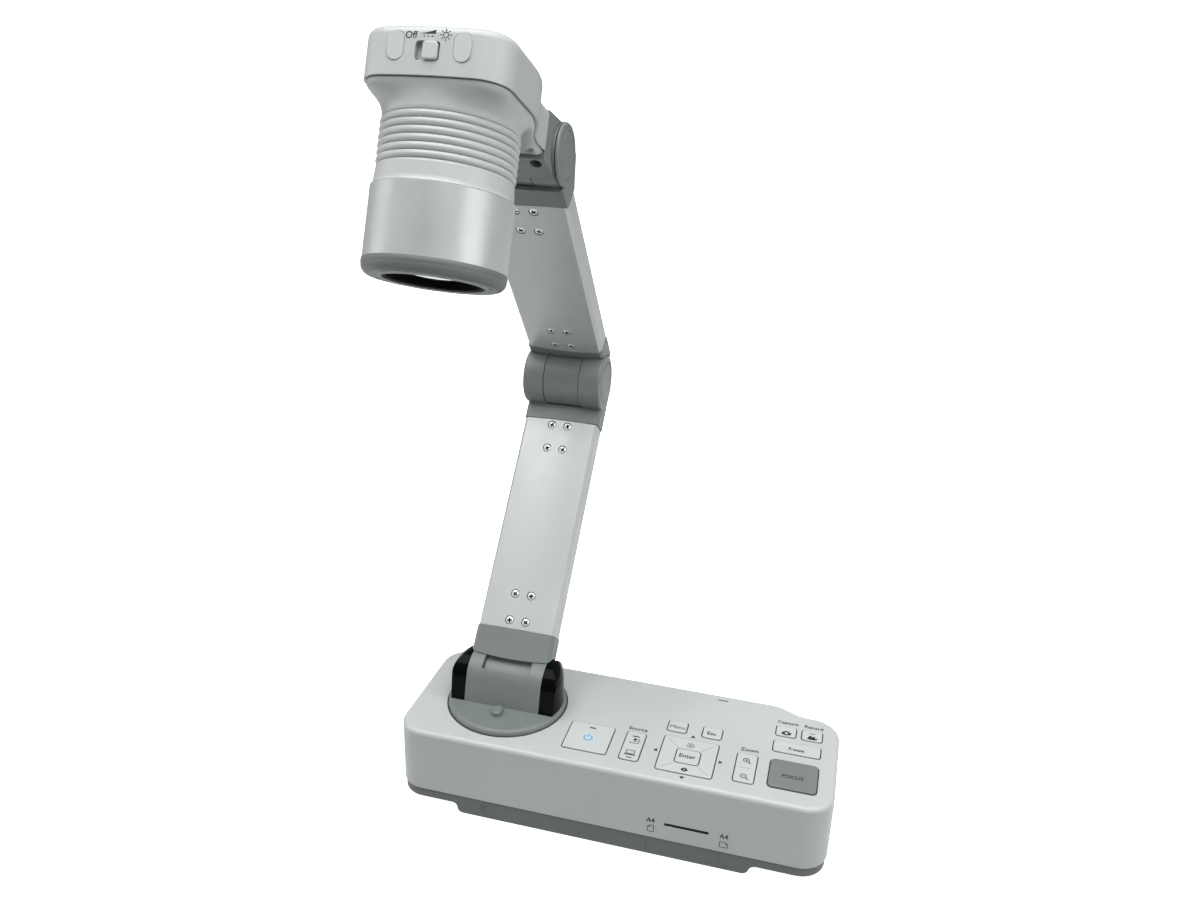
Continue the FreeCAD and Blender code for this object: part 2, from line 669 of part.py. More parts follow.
def make_elbow_fork():
    arm = LOWER
    y = arm.fork_y
    z = arm.fork_z
    block = prism_z(arm_section(arm, -FITTING_PROUD, 0), arm.end + 0.15, z - 4.0)
    ears = rod_x(ELBOW_R, -EAR_HALF, EAR_HALF, y, z)
    rims = [e for e in ears.Edges if e.Closed]
    ears = ears.makeFillet(1.6, rims)
    fork = block.fuse(ears)
    fork = fork.cut(rod_x(UPPER.tongue_r + 0.6, -ELBOW_SLOT, ELBOW_SLOT, y, z))
    fork = fork.cut(prism_x([(y, z - 6), (y + 40, z - 6), (y + 40, z + 40), (y, z + 40)], -ELBOW_SLOT, ELBOW_SLOT))
    fork = fork.fuse(fitting_insert(arm, arm.end - INSERT, arm.end + 1))
    fork = fork.cut(rod_x(UPPER.pin_r + FIT, -25.3, 25.3, y, z))
    for side in (-1, 1):
        x0, x1 = sorted((side * (EAR_HALF - 1.5), side * (EAR_HALF + 1)))
        fork = fork.cut(rod_x(14.2, x0, x1, y, z))
    return fork.cut(screw_shafts(arm, False))


def make_head_fork():
    arm = UPPER
    y = arm.fork_y
    z = arm.fork_z
    proud = y - HEAD_BARREL_R + 0.3
    profile = [(proud, arm.end + 2.2), (arm.front, arm.end + 0.3), (arm.back, arm.end + 0.3), (arm.back + 2.0, arm.end + 3.0),
               (y + 12.5, z - 12.0), (y + 12.5, z), (proud, z)]
    block = prism_x(profile, -EAR_HALF, EAR_HALF)
    block = block.cut(prism_x([(proud - 1, z - 10.5), (y, z - 10.5), (y + 40, z - 4), (y + 40, z + 1), (proud - 1, z + 1)],
                              -EAR_HALF - 1, EAR_HALF + 1))
    discs = rod_x(HEAD_BARREL_R, -EAR_HALF, EAR_HALF, y, z)
    discs = discs.makeFillet(1.6, [e for e in discs.Edges if e.Closed])
    fork = block.fuse(discs)
    for side in (-1, 1):
        x0, x1 = sorted((side * 24.7, side * 25.3))
        groove = rod_x(HEAD_BARREL_R + 1, x0, x1, y, z).cut(rod_x(HEAD_BARREL_R - 2.5, x0 - 1, x1 + 1, y, z))
        fork = fork.cut(groove.common(prism_x([(y - 40, z - 12), (y + 40, z - 12), (y + 40, z + 40), (y - 40, z + 40)],
                                              -40, 40)))
    fork = fork.cut(rod_x(HEAD_BARREL_R + 0.3, -HEAD_SLOT, HEAD_SLOT, y, z))
    fork = fork.fuse(fitting_insert(arm, arm.end - INSERT, arm.end + 1))
    fork = fork.cut(rod_x(arm.pin_r + FIT, -25.3, 25.3, y, z))
    for side in (-1, 1):
        x0, x1 = sorted((side * (EAR_HALF - 1.5), side * (EAR_HALF + 1)))
        fork = fork.cut(rod_x(13.0, x0, x1, y, z))
    return fork.cut(screw_shafts(arm, False))


def make_arm_screws(arm):
    screws = []
    seat = arm.front - ARM_CROWN + SHEET + 0.05
    for x, z in screw_places(arm):
        head = rod(2.45, V(x, seat - 1.5, z), V(x, seat, z))
        cross = box(x - 0.35, x + 0.35, seat - 2, seat - 0.8, z - 1.3, z + 1.3)
        cross = cross.fuse(box(x - 1.3, x + 1.3, seat - 2, seat - 0.8, z - 0.35, z + 0.35))
        shaft = rod(1.25, V(x, seat - 0.5, z), V(x, seat + 6, z))
        screws.append(head.cut(cross).fuse(shaft))
    return Part.makeCompound(screws)


# ------------------------------------------------------------------ head
# The head is made upright on the barrel's axis, lens down, front towards -y, with z = 0 at the bezel's seam.
HINGE_Y = 95.6
HINGE_Z = 80.7


def head_outline(grow):
    """Plan of the head: blunt round front over the barrel, narrowing to a neck at the rear."""
    half = 33.4 + grow
    front = -32.8 - grow
    rear_half = 21.4 + grow
    rear = 70.0
    r = 14.0 + grow
    bulge = 0.9
    edges = [
        arc_through(V(-half + r, front, 0), V(0, front - bulge, 0), V(half - r, front, 0)),
        corner_arc(V(half - r, front + r, 0), r, -90, 0),
        line(V(half, front + r, 0), V(half, 8, 0)),
        *s_bend(V(half, 8, 0), V(rear_half, 62, 0), Y_AXIS),
        line(V(rear_half, 62, 0), V(rear_half, rear, 0)),
        line(V(rear_half, rear, 0), V(-rear_half, rear, 0)),
        line(V(-rear_half, rear, 0), V(-rear_half, 62, 0)),
        *s_bend(V(-rear_half, 62, 0), V(-half, 8, 0), V(0, -1, 0)),
        line(V(-half, 8, 0), V(-half, front + r, 0)),
        corner_arc(V(-half + r, front + r, 0), r, 180, 270),
    ]
    return Part.Wire(Part.__sortEdges__(edges))


def not_rear(edge):
    return edge.BoundBox.YMin < 69.0


def make_head_top_cap():
    outer = prism_z(head_outline(1.1), CAP_SEAM + 0.1, CAP_TOP)
    outer = outer.makeFillet(4.0, level_edges(outer, CAP_TOP, not_rear))
    cap = outer.cut(prism_z(head_outline(-1.1), CAP_SEAM - 1, CAP_TOP - 2.2).common(box(-50, 50, -50, 68, 0, 120)))
    window = rounded_rect(-0.4, 85.9, 11.2, 8.4, 1.6)
    cap = cap.cut(front_prism(window, -40, -28))
    for x in (-15.2, 15.2):
        cap = cap.cut(front_prism(rounded_rect(x, 88.0, 8.0, 12.8, 3.95), -40, -33.9))
    return cap


def front_prism(wire, y0, y1):
    """An outline drawn in x and z, drawn out along y."""
    face = Part.Face(wire)
    face.rotate(V(0, 0, 0), X_AXIS, 90)
    face.translate(V(0, y0, 0))
    return face.extrude(V(0, y1 - y0, 0))


def make_oval_pads():
    pads = [front_prism(rounded_rect(x, 88.0, 7.7, 12.5, 3.8), -34.6, -33.9) for x in (-15.2, 15.2)]
    return Part.makeCompound(pads)


def make_head_housing():
    """Lower half of the head in one piece with the ribbed grip."""
    bottom = CAP_SEAM - 4.4
    plate = prism_z(head_outline(0), bottom, CAP_SEAM)
    plate = plate.makeFillet(3.2, level_edges(plate, bottom, not_rear))
    flare_edges = [
        line(V(0, 0, GRIP_END), V(31.6, 0, GRIP_END)),
        arc_through(V(31.6, 0, GRIP_END), V(32.4, 0, 68.4), V(34.4, 0, 71.5)),
        line(V(34.4, 0, 71.5), V(34.4, 0, 72.5)),
        line(V(34.4, 0, 72.5), V(0, 0, 72.5)),
        line(V(0, 0, 72.5), V(0, 0, GRIP_END)),
    ]
    flare = lathe_edges(flare_edges).common(prism_z(head_outline(-0.4), GRIP_END - 1, CAP_SEAM - 1))
    housing = plate.fuse(flare).fuse(grip_solid())
    inner = prism_z(head_outline(-2.2), bottom + 2.2, CAP_SEAM + 1).common(box(-50, 50, -50, 66, 0, 120))
    housing = housing.cut(inner).cut(rod_z(29.4, 0, 80))
    return housing.cut(rod_z(3.2, 60, bottom + 1.4, 0, 58))


def grip_solid():
    """Ribbed neck: a smooth flare up from the barrel, then rounded lands between narrow grooves."""
    grooves = [GRIP_FIRST + k * GRIP_PITCH for k in range(GRIP_COUNT)]
    foot = BARREL_TOP + 0.1
    edges = [
        line(V(0, 0, foot), V(BARREL_R, 0, foot)),
        arc_through(V(BARREL_R, 0, foot), V(31.95, 0, foot + 3.6), V(31.6, 0, grooves[0] - 2.2)),
        line(V(31.6, 0, grooves[0] - 2.2), V(GRIP_R, 0, grooves[0])),
    ]
    for low, high in zip(grooves, grooves[1:]):
        edges.append(arc_through(V(GRIP_R, 0, low), V(GRIP_R + GRIP_LAND, 0, (low + high) / 2), V(GRIP_R, 0, high)))
    edges.append(line(V(GRIP_R, 0, grooves[-1]), V(31.6, 0, GRIP_END)))
    edges.append(line(V(31.6, 0, GRIP_END), V(0, 0, GRIP_END)))
    edges.append(line(V(0, 0, GRIP_END), V(0, 0, foot)))
    return lathe_edges(edges)


def make_barrel_sleeve():
    return rod_z(BARREL_R, 0.05, BARREL_TOP).cut(rod_z(BARREL_R - 2.0, -1, BARREL_TOP + 1))


def make_bezel_ring():
    outer = BARREL_R + 0.3
    edges = [
        line(V(24.6, 0, 0), V(BARREL_R, 0, 0)),
        arc_through(V(BARREL_R, 0, 0), V(outer, 0, -1.2), V(outer - 0.2, 0, -2.6)),
        arc_through(V(outer - 0.2, 0, -2.6), V(32.2, 0, -5.5), V(29.8, 0, -7.0)),
        line(V(29.8, 0, -7.0), V(23.6, 0, -7.0)),
        line(V(23.6, 0, -7.0), V(24.6, 0, 0)),
    ]
    ring = lathe_edges(edges)
    slots = []
    for k in range(6):
        mark = box(-2.6, 2.6, -28.1, -27.2, -7.5, -6.2)
        mark.rotate(V(0, 0, 0), Z_AXIS, 30 + 60 * k)
        slots.append(mark)
    return ring.cut(Part.makeCompound(slots))


def make_lens_hood():
    hood = lathe([(23.2, -6.2), (24.2, 0.4), (24.2, 4.6), (15.9, 4.6), (15.9, -2.4), (21.4, -2.4), (22.0, -6.2)])
    return hood.cut(rod_z(2.0, -3, 6, 0, -18.7))


def make_front_glass():
    return lathe([(0, -4.7), (4.0, -4.64), (8.0, -4.4), (12.0, -3.95), (15.8, -3.4), (15.8, -1.4), (0, -1.4)])


def make_lamp_lens():
    return rod_z(1.9, -2.2, 5.6, 0, -18.7)


def make_lamp_board():
    board = lathe([(15.6, 7.4), (26.0, 7.4), (26.0, 8.6), (15.6, 8.6)])
    return board.fuse(box(-2.0, 2.0, -20.7, -16.7, 5.8, 7.6))


def make_zoom_lens():
    lens = lathe([(0, 9.0), (13.0, 9.0), (13.0, 5.2), (14.6, 5.2), (14.6, 8.9), (22.0, 8.9), (22.0, 40.0),
                  (18.0, 40.0), (18.0, 56.0), (0, 56.0)])
    return lens


def make_sensor_board():
    board = box(-20, 20, -18, 18, 56.1, 57.7)
    board = board.fuse(box(-9, 9, -9, 9, 57.7, 60.5))
    return board.fuse(box(-3, 3, 10, 15, 57.7, 62.0))


def make_switch_body():
    body = box(-9.5, 9.5, -28.6, -23.5, 81.5, 90.3)
    return body


def make_lamp_switch_knob():
    face = rounded_rect(1.1, 85.9, 6.7, 7.8, 1.5)
    knob = front_prism(face, -36.2, -30.6)
    front = [e for e in knob.Edges if abs(e.BoundBox.YMax + 36.2) < 1e-4 and abs(e.BoundBox.YMin + 36.2) < 1e-4]
    knob = knob.makeFillet(0.7, front)
    return knob.fuse(box(-6.6, 9.4, -32.0, -29.6, 81.4, 90.4))


def make_head_bracket():
    """Block behind the head, with a tongue that turns between the ears of the upper arm."""
    side = [(70.3, 71.3), (86.3, 65.3), (HINGE_Y, HINGE_Z), (HINGE_Y, 97.0), (88.5, 96.0), (70.3, 96.6)]
    body = prism_x(side, -24.3, 24.3)
    taper = 24.3 - 22.3
    for sign in (-1, 1):
        wedge = [V(sign * 22.3, 70.0, 60), V(sign * 24.4, 88.0, 60), V(sign * 30, 88.0, 60), V(sign * 30, 70.0, 60)]
        body = body.cut(Part.Face(Part.makePolygon(wedge + wedge[:1])).extrude(V(0, 0, 40)))
    clear = HEAD_BARREL_R + 0.5
    for x0, x1 in ((-40, -HEAD_TONGUE_HALF), (HEAD_TONGUE_HALF, 40)):
        body = body.cut(rod_x(clear, x0, x1, HINGE_Y, HINGE_Z))
        body = body.cut(box(x0, x1, HINGE_Y, HINGE_Y + 30, 50, 120))
    tongue = rod_x(HEAD_BARREL_R - 0.2, -HEAD_TONGUE_HALF, HEAD_TONGUE_HALF, HINGE_Y, HINGE_Z)
    body = body.fuse(tongue)
    body = body.cut(rod_x(UPPER.pin_r + RUN, -40, 40, HINGE_Y, HINGE_Z))
    drop = V(0, -5.9, -13.2)
    drop = drop / drop.Length
    for x in (-16.8, 16.8):
        centre = V(x, 74.6, 69.7)
        body = body.cut(rod(3.2, centre - drop * 8.0, centre + drop * 8.0))
    return body


# ------------------------------------------------------------------ write every node
def write_base():
    save("base_top_case", make_base_top_case())
    save("base_bottom_cover", make_base_bottom_cover())
    save("rubber_feet", make_rubber_feet())
    save("case_screws", make_case_screws())
    save("ballast_plate", make_ballast_plate())
    save("main_board", make_main_board())
    save("memory_card_socket", make_card_socket())
    save("key_board", make_key_board())
    save("key_board_screws", make_key_board_screws())
    save("key_switches", make_key_switches())
    save("power_socket", make_power_socket(*POWER_SOCKET))
    save("digital_video_socket", make_tongue_socket(*DIGITAL_SOCKET))
    save("video_sockets", Part.makeCompound([make_video_socket(*sizes) for sizes in VIDEO_SOCKETS]))
    save("usb_socket", make_tongue_socket(*USB_SOCKET))
    for name in KEYS:
        save(name, make_key(name))
    save("enter_key", make_enter_key())


def write_turntable():
    save("turntable_disc", make_turntable_disc())
    save("swivel_bush", make_swivel_bush())
    save("swivel_nut", make_swivel_nut())
    save("hinge_bracket", make_hinge_bracket())
    save("black_cheeks", make_black_cheeks())


def write_arm(prefix, arm, lean, pivot, fork):
    pieces = {
        "_channel": make_channel(arm),
        "_back_cover": make_back_cover(arm),
        "_foot": make_arm_foot(arm),
        "_fork": fork,
        "_screws": make_arm_screws(arm),
    }
    for name, shape in pieces.items():
        save(prefix + name, place(shape, lean, pivot))


def write_hinge(prefix, pin_r, pin_half, washer_r, gap_start, gap_end, centre):
    save(prefix + "_pin", hinge_pin(pin_r, pin_half, centre))
    save(prefix + "_washers", hinge_washers(pin_r + 0.2, washer_r, gap_start + RUN, gap_end, centre))


def write_head():
    pieces = {
        "head_bracket": make_head_bracket(),
        "head_top_cap": make_head_top_cap(),
        "oval_pads": make_oval_pads(),
        "head_housing": make_head_housing(),
        "barrel_sleeve": make_barrel_sleeve(),
        "bezel_ring": make_bezel_ring(),
        "lens_hood": make_lens_hood(),
        "front_glass": make_front_glass(),
        "lamp_lens": make_lamp_lens(),
        "lamp_board": make_lamp_board(),
        "zoom_lens": make_zoom_lens(),
        "sensor_board": make_sensor_board(),
        "switch_body": make_switch_body(),
        "lamp_switch_knob": make_lamp_switch_knob(),
    }
    for name, shape in pieces.items():
        save(name, place(shape, HEAD_TILT, HEAD_ORIGIN))


write_base()
write_turntable()
write_hinge("base_hinge", LOWER.pin_r, SADDLE_HALF - 0.3, 9.0, TONGUE_HALF, SLOT_HALF, BASE_PIVOT)
write_arm("lower_arm", LOWER, LOWER_LEAN, BASE_PIVOT, make_elbow_fork())
write_hinge("elbow", UPPER.pin_r, 25.2, 10.0, UPPER.tongue_half, ELBOW_SLOT, ELBOW)
write_arm("upper_arm", UPPER, UPPER_LEAN, ELBOW, make_head_fork())
write_hinge("head_hinge", UPPER.pin_r, 25.2, 10.0, HEAD_TONGUE_HALF, HEAD_SLOT, HEAD_PIVOT)
write_head()
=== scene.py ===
import math

import bmesh
import bpy
from mathutils import Matrix, Vector


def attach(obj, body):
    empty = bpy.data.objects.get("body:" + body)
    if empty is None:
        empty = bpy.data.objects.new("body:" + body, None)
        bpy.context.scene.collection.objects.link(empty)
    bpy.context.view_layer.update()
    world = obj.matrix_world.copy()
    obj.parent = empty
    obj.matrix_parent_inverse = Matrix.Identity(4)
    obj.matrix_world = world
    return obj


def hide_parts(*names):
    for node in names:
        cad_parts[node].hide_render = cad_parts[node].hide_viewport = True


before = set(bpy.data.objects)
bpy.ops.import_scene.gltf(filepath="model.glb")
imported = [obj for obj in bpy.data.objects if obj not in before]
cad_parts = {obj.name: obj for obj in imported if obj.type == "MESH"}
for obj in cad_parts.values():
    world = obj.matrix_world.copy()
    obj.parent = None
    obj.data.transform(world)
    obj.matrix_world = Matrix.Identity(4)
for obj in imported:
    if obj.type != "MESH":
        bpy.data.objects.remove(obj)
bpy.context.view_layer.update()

MM = 0.001
scene = bpy.context.scene

# ------------------------------------------------------------------ materials


class Look:
    """One node material: a Principled shader with object coordinates in metres."""

    def __init__(self, name):
        self.material = bpy.data.materials.new(name)
        self.material.use_nodes = True
        self.tree = self.material.node_tree
        self.tree.nodes.clear()
        output = self.add("ShaderNodeOutputMaterial")
        self.shader = self.add("ShaderNodeBsdfPrincipled")
        self.join(self.shader.outputs["BSDF"], output.inputs["Surface"])
        self.coords = self.add("ShaderNodeTexCoord").outputs["Object"]

    def add(self, kind):
        return self.tree.nodes.new(kind)

    def join(self, source, target):
        self.tree.links.new(source, target)

    def noise(self, scale, detail=3.0, stretch=None):
        node = self.add("ShaderNodeTexNoise")
        node.inputs["Scale"].default_value = scale
        node.inputs["Detail"].default_value = detail
        vector = self.coords
        if stretch:
            mapping = self.add("ShaderNodeMapping")
            mapping.inputs["Scale"].default_value = stretch
            self.join(self.coords, mapping.inputs["Vector"])
            vector = mapping.outputs["Vector"]
        self.join(vector, node.inputs["Vector"])
        return node.outputs[0]

    def cells(self, scale, feature="F1"):
        node = self.add("ShaderNodeTexVoronoi")
        node.feature = feature
        node.inputs["Scale"].default_value = scale
        self.join(self.coords, node.inputs["Vector"])
        return node.outputs["Distance"]

    def ramp(self, source, stops):
        node = self.add("ShaderNodeValToRGB")
        elements = node.color_ramp.elements
        while len(elements) < len(stops):
            elements.new(0.5)
        for element, (place, colour) in zip(elements, stops):
            element.position = place
            element.color = (*colour, 1.0)
        self.join(source, node.inputs["Fac"])
        return node.outputs["Color"]

    def spread(self, source, low, high):
        """Stretches the middle of a noise's range to run from low to high."""
        node = self.add("ShaderNodeMapRange")
        node.inputs["From Min"].default_value = 0.3
        node.inputs["From Max"].default_value = 0.7
        node.inputs["To Min"].default_value = low
        node.inputs["To Max"].default_value = high
        self.join(source, node.inputs["Value"])
        return node.outputs["Result"]

    def blend(self, mode, factor, first, second):
        node = self.add("ShaderNodeMix")
        node.data_type = "RGBA"
        node.blend_type = mode
        node.inputs[0].default_value = factor
        self.join(first, node.inputs[6])
        self.join(second, node.inputs[7])
        return node.outputs[2]

    def bump(self, height, strength, depth, normal=None):
        node = self.add("ShaderNodeBump")
        node.inputs["Strength"].default_value = strength
        node.inputs["Distance"].default_value = depth
        self.join(height, node.inputs["Height"])
        if normal:
            self.join(normal, node.inputs["Normal"])
        return node.outputs["Normal"]

    def soft_edge(self, radius):
        """A normal that rounds sharp edges, as moulding and wear do."""
        node = self.add("ShaderNodeBevel")
        node.samples = 4
        node.inputs["Radius"].default_value = radius
        return node.outputs["Normal"]

    def set(self, **values):
        """Sets the shader's own sockets; an underscore stands for a space."""
        for name, value in values.items():
            self.shader.inputs[name.replace("_", " ")].default_value = value


def tint(colour, factor):
    return tuple(min(1.0, channel * factor) for channel in colour)


def plastic(name, colour, rough=0.4, grain=0.12, grain_scale=2600.0, variation=0.05, edge=0.00035, **shader):
    """Moulded plastic: slow drift in the colour, fine spark-eroded grain, uneven gloss from handling."""
    look = Look(name)
    darker, lighter = tint(colour, 1 - variation), tint(colour, 1 + variation / 2)
    drift = look.ramp(look.noise(14.0, 2.0), [(0.32, darker), (0.68, lighter)])
    speck = look.ramp(look.noise(900.0, 4.0), [(0.30, (0.93, 0.93, 0.93)), (0.62, (1.0, 1.0, 1.0))])
    look.join(look.blend("MULTIPLY", 0.6, drift, speck), look.shader.inputs["Base Color"])
    look.join(look.spread(look.noise(38.0, 5.0), rough - 0.05, rough + 0.07), look.shader.inputs["Roughness"])
    ripple = look.bump(look.noise(55.0, 2.0), 0.10, 0.0004, look.soft_edge(edge))
    look.join(look.bump(look.noise(grain_scale, 2.0), grain, 0.00006, ripple), look.shader.inputs["Normal"])
    look.set(**shader)
    return look.material


def painted_metal(name, colour, rough=0.36, metallic=0.3, flake=0.10):
    """Satin silver paint: a fine metallic flake over a slow drift, with orange peel in the gloss."""
    look = Look(name)
    drift = look.ramp(look.noise(9.0, 2.0), [(0.3, tint(colour, 0.96)), (0.7, tint(colour, 1.03))])
    flakes = look.ramp(look.cells(2300.0), [(0.0, (1.0, 1.0, 1.0)), (0.55, (1 - flake,) * 3)])
    look.join(look.blend("MULTIPLY", 1.0, drift, flakes), look.shader.inputs["Base Color"])
    look.join(look.spread(look.noise(60.0, 4.0), rough - 0.05, rough + 0.06), look.shader.inputs["Roughness"])
    peel = look.bump(look.noise(420.0, 2.0), 0.08, 0.00012, look.soft_edge(0.0003))
    look.join(look.bump(look.cells(2300.0), 0.05, 0.00004, peel), look.shader.inputs["Normal"])
    look.set(Metallic=metallic)
    return look.material


def bare_metal(name, colour, rough=0.28, stretch=(1.0, 1.0, 1.0), metallic=1.0):
    """Plated or turned metal with fine tool marks and dulled patches."""
    look = Look(name)
    patch = look.ramp(look.noise(300.0, 4.0), [(0.28, tint(colour, 0.80)), (0.6, colour)])
    look.join(patch, look.shader.inputs["Base Color"])
    gloss = look.spread(look.noise(500.0, 4.0), rough - 0.08, rough + 0.12)
    look.join(gloss, look.shader.inputs["Roughness"])
    marks = look.noise(2600.0, 3.0, stretch)
    look.join(look.bump(marks, 0.12, 0.00004, look.soft_edge(0.00015)), look.shader.inputs["Normal"])
    look.set(Metallic=metallic)
    return look.material


def circuit_material():
    """Green board: tracks between cells, and scattered plated pads."""
    look = Look("circuit_board")
    green = (0.02, 0.09, 0.035)
    tracks = look.ramp(look.cells(260.0, "DISTANCE_TO_EDGE"), [(0.04, (0.05, 0.16, 0.07)), (0.10, green)])
    pads = look.ramp(look.cells(420.0), [(0.10, (0.55, 0.42, 0.18)), (0.13, green)])
    look.join(look.blend("LIGHTEN", 1.0, tracks, pads), look.shader.inputs["Base Color"])
    look.join(look.spread(look.noise(240.0), 0.28, 0.45), look.shader.inputs["Roughness"])
    relief = look.bump(look.cells(260.0, "DISTANCE_TO_EDGE"), 0.2, 0.00005)
    look.join(relief, look.shader.inputs["Normal"])
    return look.material


def glass_material():
    """Coated front element: very smooth, with faint wipe marks; its pale colour is partly painted reflection,
    over the real reflection from the metallic part and the coat.
    """
    look = Look("optic_glass")
    tone = look.ramp(look.noise(55.0, 3.0), [(0.35, (0.70, 0.77, 0.79)), (0.65, (0.83, 0.88, 0.89))])
    look.join(tone, look.shader.inputs["Base Color"])
    look.join(look.spread(look.noise(120.0, 4.0), 0.03, 0.09), look.shader.inputs["Roughness"])
    look.join(look.bump(look.noise(30.0, 1.0), 0.05, 0.0002), look.shader.inputs["Normal"])
    look.set(Metallic=0.35, Coat_Weight=1.0, Coat_Roughness=0.02, IOR=1.7)
    return look.material


def lamp_material():
    """Clear cover of the lamp, with small prisms."""
    look = Look("lamp_clear")
    tone = look.ramp(look.cells(900.0), [(0.1, (0.95, 0.93, 0.78)), (0.6, (0.80, 0.80, 0.72))])
    look.join(tone, look.shader.inputs["Base Color"])
    look.join(look.spread(look.noise(400.0), 0.08, 0.2), look.shader.inputs["Roughness"])
    look.join(look.bump(look.cells(1400.0), 0.3, 0.0001), look.shader.inputs["Normal"])
    look.set(Coat_Weight=0.6)
    return look.material


def ink_material(name, colour, rough=0.55):
    """Screen-printed ink: slightly uneven density and a broken edge to the gloss."""
    look = Look(name)
    tone = look.ramp(look.noise(1500.0, 4.0), [(0.3, tint(colour, 0.7)), (0.7, tint(colour, 1.35))])
    look.join(tone, look.shader.inputs["Base Color"])
    look.join(look.spread(look.noise(800.0), rough - 0.08, rough + 0.08), look.shader.inputs["Roughness"])
    look.join(look.bump(look.noise(3000.0), 0.2, 0.00003), look.shader.inputs["Normal"])
    return look.material


def lit_ink_material():
    """Blue light-pipe of the power symbol."""
    look = Look("lit_blue")
    tone = look.ramp(look.noise(700.0, 3.0), [(0.3, (0.015, 0.12, 0.33)), (0.7, (0.03, 0.20, 0.46))])
    look.join(tone, look.shader.inputs["Base Color"])
    look.join(look.spread(look.noise(900.0), 0.3, 0.45), look.shader.inputs["Roughness"])
    look.set(Emission_Color=(0.03, 0.22, 0.55, 1.0), Emission_Strength=0.05)
    return look.material


def halo_material():
    """Glow that the lit symbol throws into the translucent key around it."""
    look = Look("key_glow")
    tone = look.ramp(look.noise(600.0, 2.0), [(0.3, (0.43, 0.56, 0.62)), (0.7, (0.47, 0.60, 0.66))])
    look.join(tone, look.shader.inputs["Base Color"])
    look.join(look.spread(look.noise(900.0), 0.35, 0.5), look.shader.inputs["Roughness"])
    return look.material


# The record's material slots, by name
LOOKS = {
    "white_shell": plastic(
        "white_shell", (0.475, 0.500, 0.492), rough=0.34, grain=0.08, Coat_Weight=0.12, Coat_Roughness=0.25,
    ),
    "cover_grey": plastic("cover_grey", (0.130, 0.150, 0.141), rough=0.50, grain=0.22),
    "hinge_grey": plastic("hinge_grey", (0.166, 0.189, 0.178), rough=0.40, grain=0.12),
    "arm_paint": painted_metal("arm_paint", (0.525, 0.552, 0.546)),
    "sleeve_paint": painted_metal("sleeve_paint", (0.50, 0.53, 0.515), rough=0.33, metallic=0.35, flake=0.06),
    "gloss_black": plastic(
        "gloss_black", (0.0012, 0.0018, 0.0022),
        rough=0.10, grain=0.02, variation=0.3, Specular_IOR_Level=0.06,
    ),
    "matt_black": plastic(
        "matt_black", (0.0015, 0.0015, 0.0018),
        rough=0.6, grain=0.25, variation=0.2, Specular_IOR_Level=0.05,
    ),
    "rubber": plastic(
        "rubber", (0.020, 0.020, 0.021), rough=0.78, grain=0.5, grain_scale=1300.0, variation=0.25,
    ),
    "screw_steel": bare_metal("screw_steel", (0.86, 0.88, 0.88), rough=0.26, metallic=0.55),
    "machined_steel": bare_metal("machined_steel", (0.58, 0.59, 0.60), rough=0.30, stretch=(1.0, 0.1, 0.1)),
    "bush_brass": bare_metal("bush_brass", (0.62, 0.47, 0.22), rough=0.32, stretch=(0.2, 0.2, 1.0)),
    "ballast_iron": bare_metal("ballast_iron", (0.25, 0.24, 0.235), rough=0.55),
    "circuit_board": circuit_material(),
    "switch_black": plastic("switch_black", (0.018, 0.019, 0.020), rough=0.45, grain=0.2, variation=0.2),
    "key_white": plastic("key_white", (0.50, 0.525, 0.52), rough=0.36, grain=0.10, edge=0.0004),
    "key_grey": plastic("key_grey", (0.172, 0.190, 0.180), rough=0.42, grain=0.14, edge=0.0004),
    "socket_metal": bare_metal("socket_metal", (0.60, 0.60, 0.59), rough=0.34, stretch=(1.0, 0.2, 1.0)),
    "optic_glass": glass_material(),
    "lamp_clear": lamp_material(),
}

# Finishes of the small added pieces
INK = ink_material("print_ink", (0.016, 0.020, 0.021))
# Faint dark lines: painted shade along the creases and splits of the keys
CREASE_SHADE = ink_material("crease_shade", (0.10, 0.115, 0.112))
# Painted shade for sunk grooves that are drawn as flat marks
GROOVE_SHADE = ink_material("groove_shade", (0.095, 0.112, 0.108))
# Near-black painted shade for gaps, the card slot's mouth and the screws' cross recesses
SHADOW_GAP = ink_material("shadow_gap", (0.006, 0.008, 0.008), 0.9)
LIT_BLUE = lit_ink_material()
GLOW = halo_material()

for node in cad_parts.values():
    for slot in node.material_slots:
        slot.material = LOOKS[slot.material.name.split(".")[0]]

# ------------------------------------------------------------------ frames of the moving parts


def leaning(lean_deg, origin):
    """A part drawn upright, leaned back by that angle and set at its joint, in millimetres."""
    return Matrix.Translation(origin) @ Matrix.Rotation(math.radians(-lean_deg), 4, "X")


LOWER_ARM = leaning(39.8, (0, 5.0, 71.8))
UPPER_ARM = leaning(-39.7, (0, 123.7, 239.8))
HEAD = leaning(20.95, (0, -99.6, 359.1))

# ------------------------------------------------------------------ making pieces


def finish_mesh(bm, name, material, sharp_deg=32.0):
    """Turns a bmesh drawn in millimetres into a linked object in metres."""
    bmesh.ops.recalc_face_normals(bm, faces=bm.faces)
    bmesh.ops.scale(bm, vec=(MM, MM, MM), verts=bm.verts)
    mesh = bpy.data.meshes.new(name)
    bm.to_mesh(mesh)
    bm.free()
    mesh.polygons.foreach_set("use_smooth", [True] * len(mesh.polygons))
    mesh.set_sharp_from_angle(angle=math.radians(sharp_deg))
    mesh.materials.append(material)
    obj = bpy.data.objects.new(name, mesh)
    scene.collection.objects.link(obj)
    return obj


def piece(bm, name, material, body, nodes=(), sharp_deg=32.0):
    """A finished mesh that rides on a body, and may stand for CAD nodes."""
    obj = finish_mesh(bm, name, material, sharp_deg)
    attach(obj, body)
    if nodes:
        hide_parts(*nodes)
    return obj


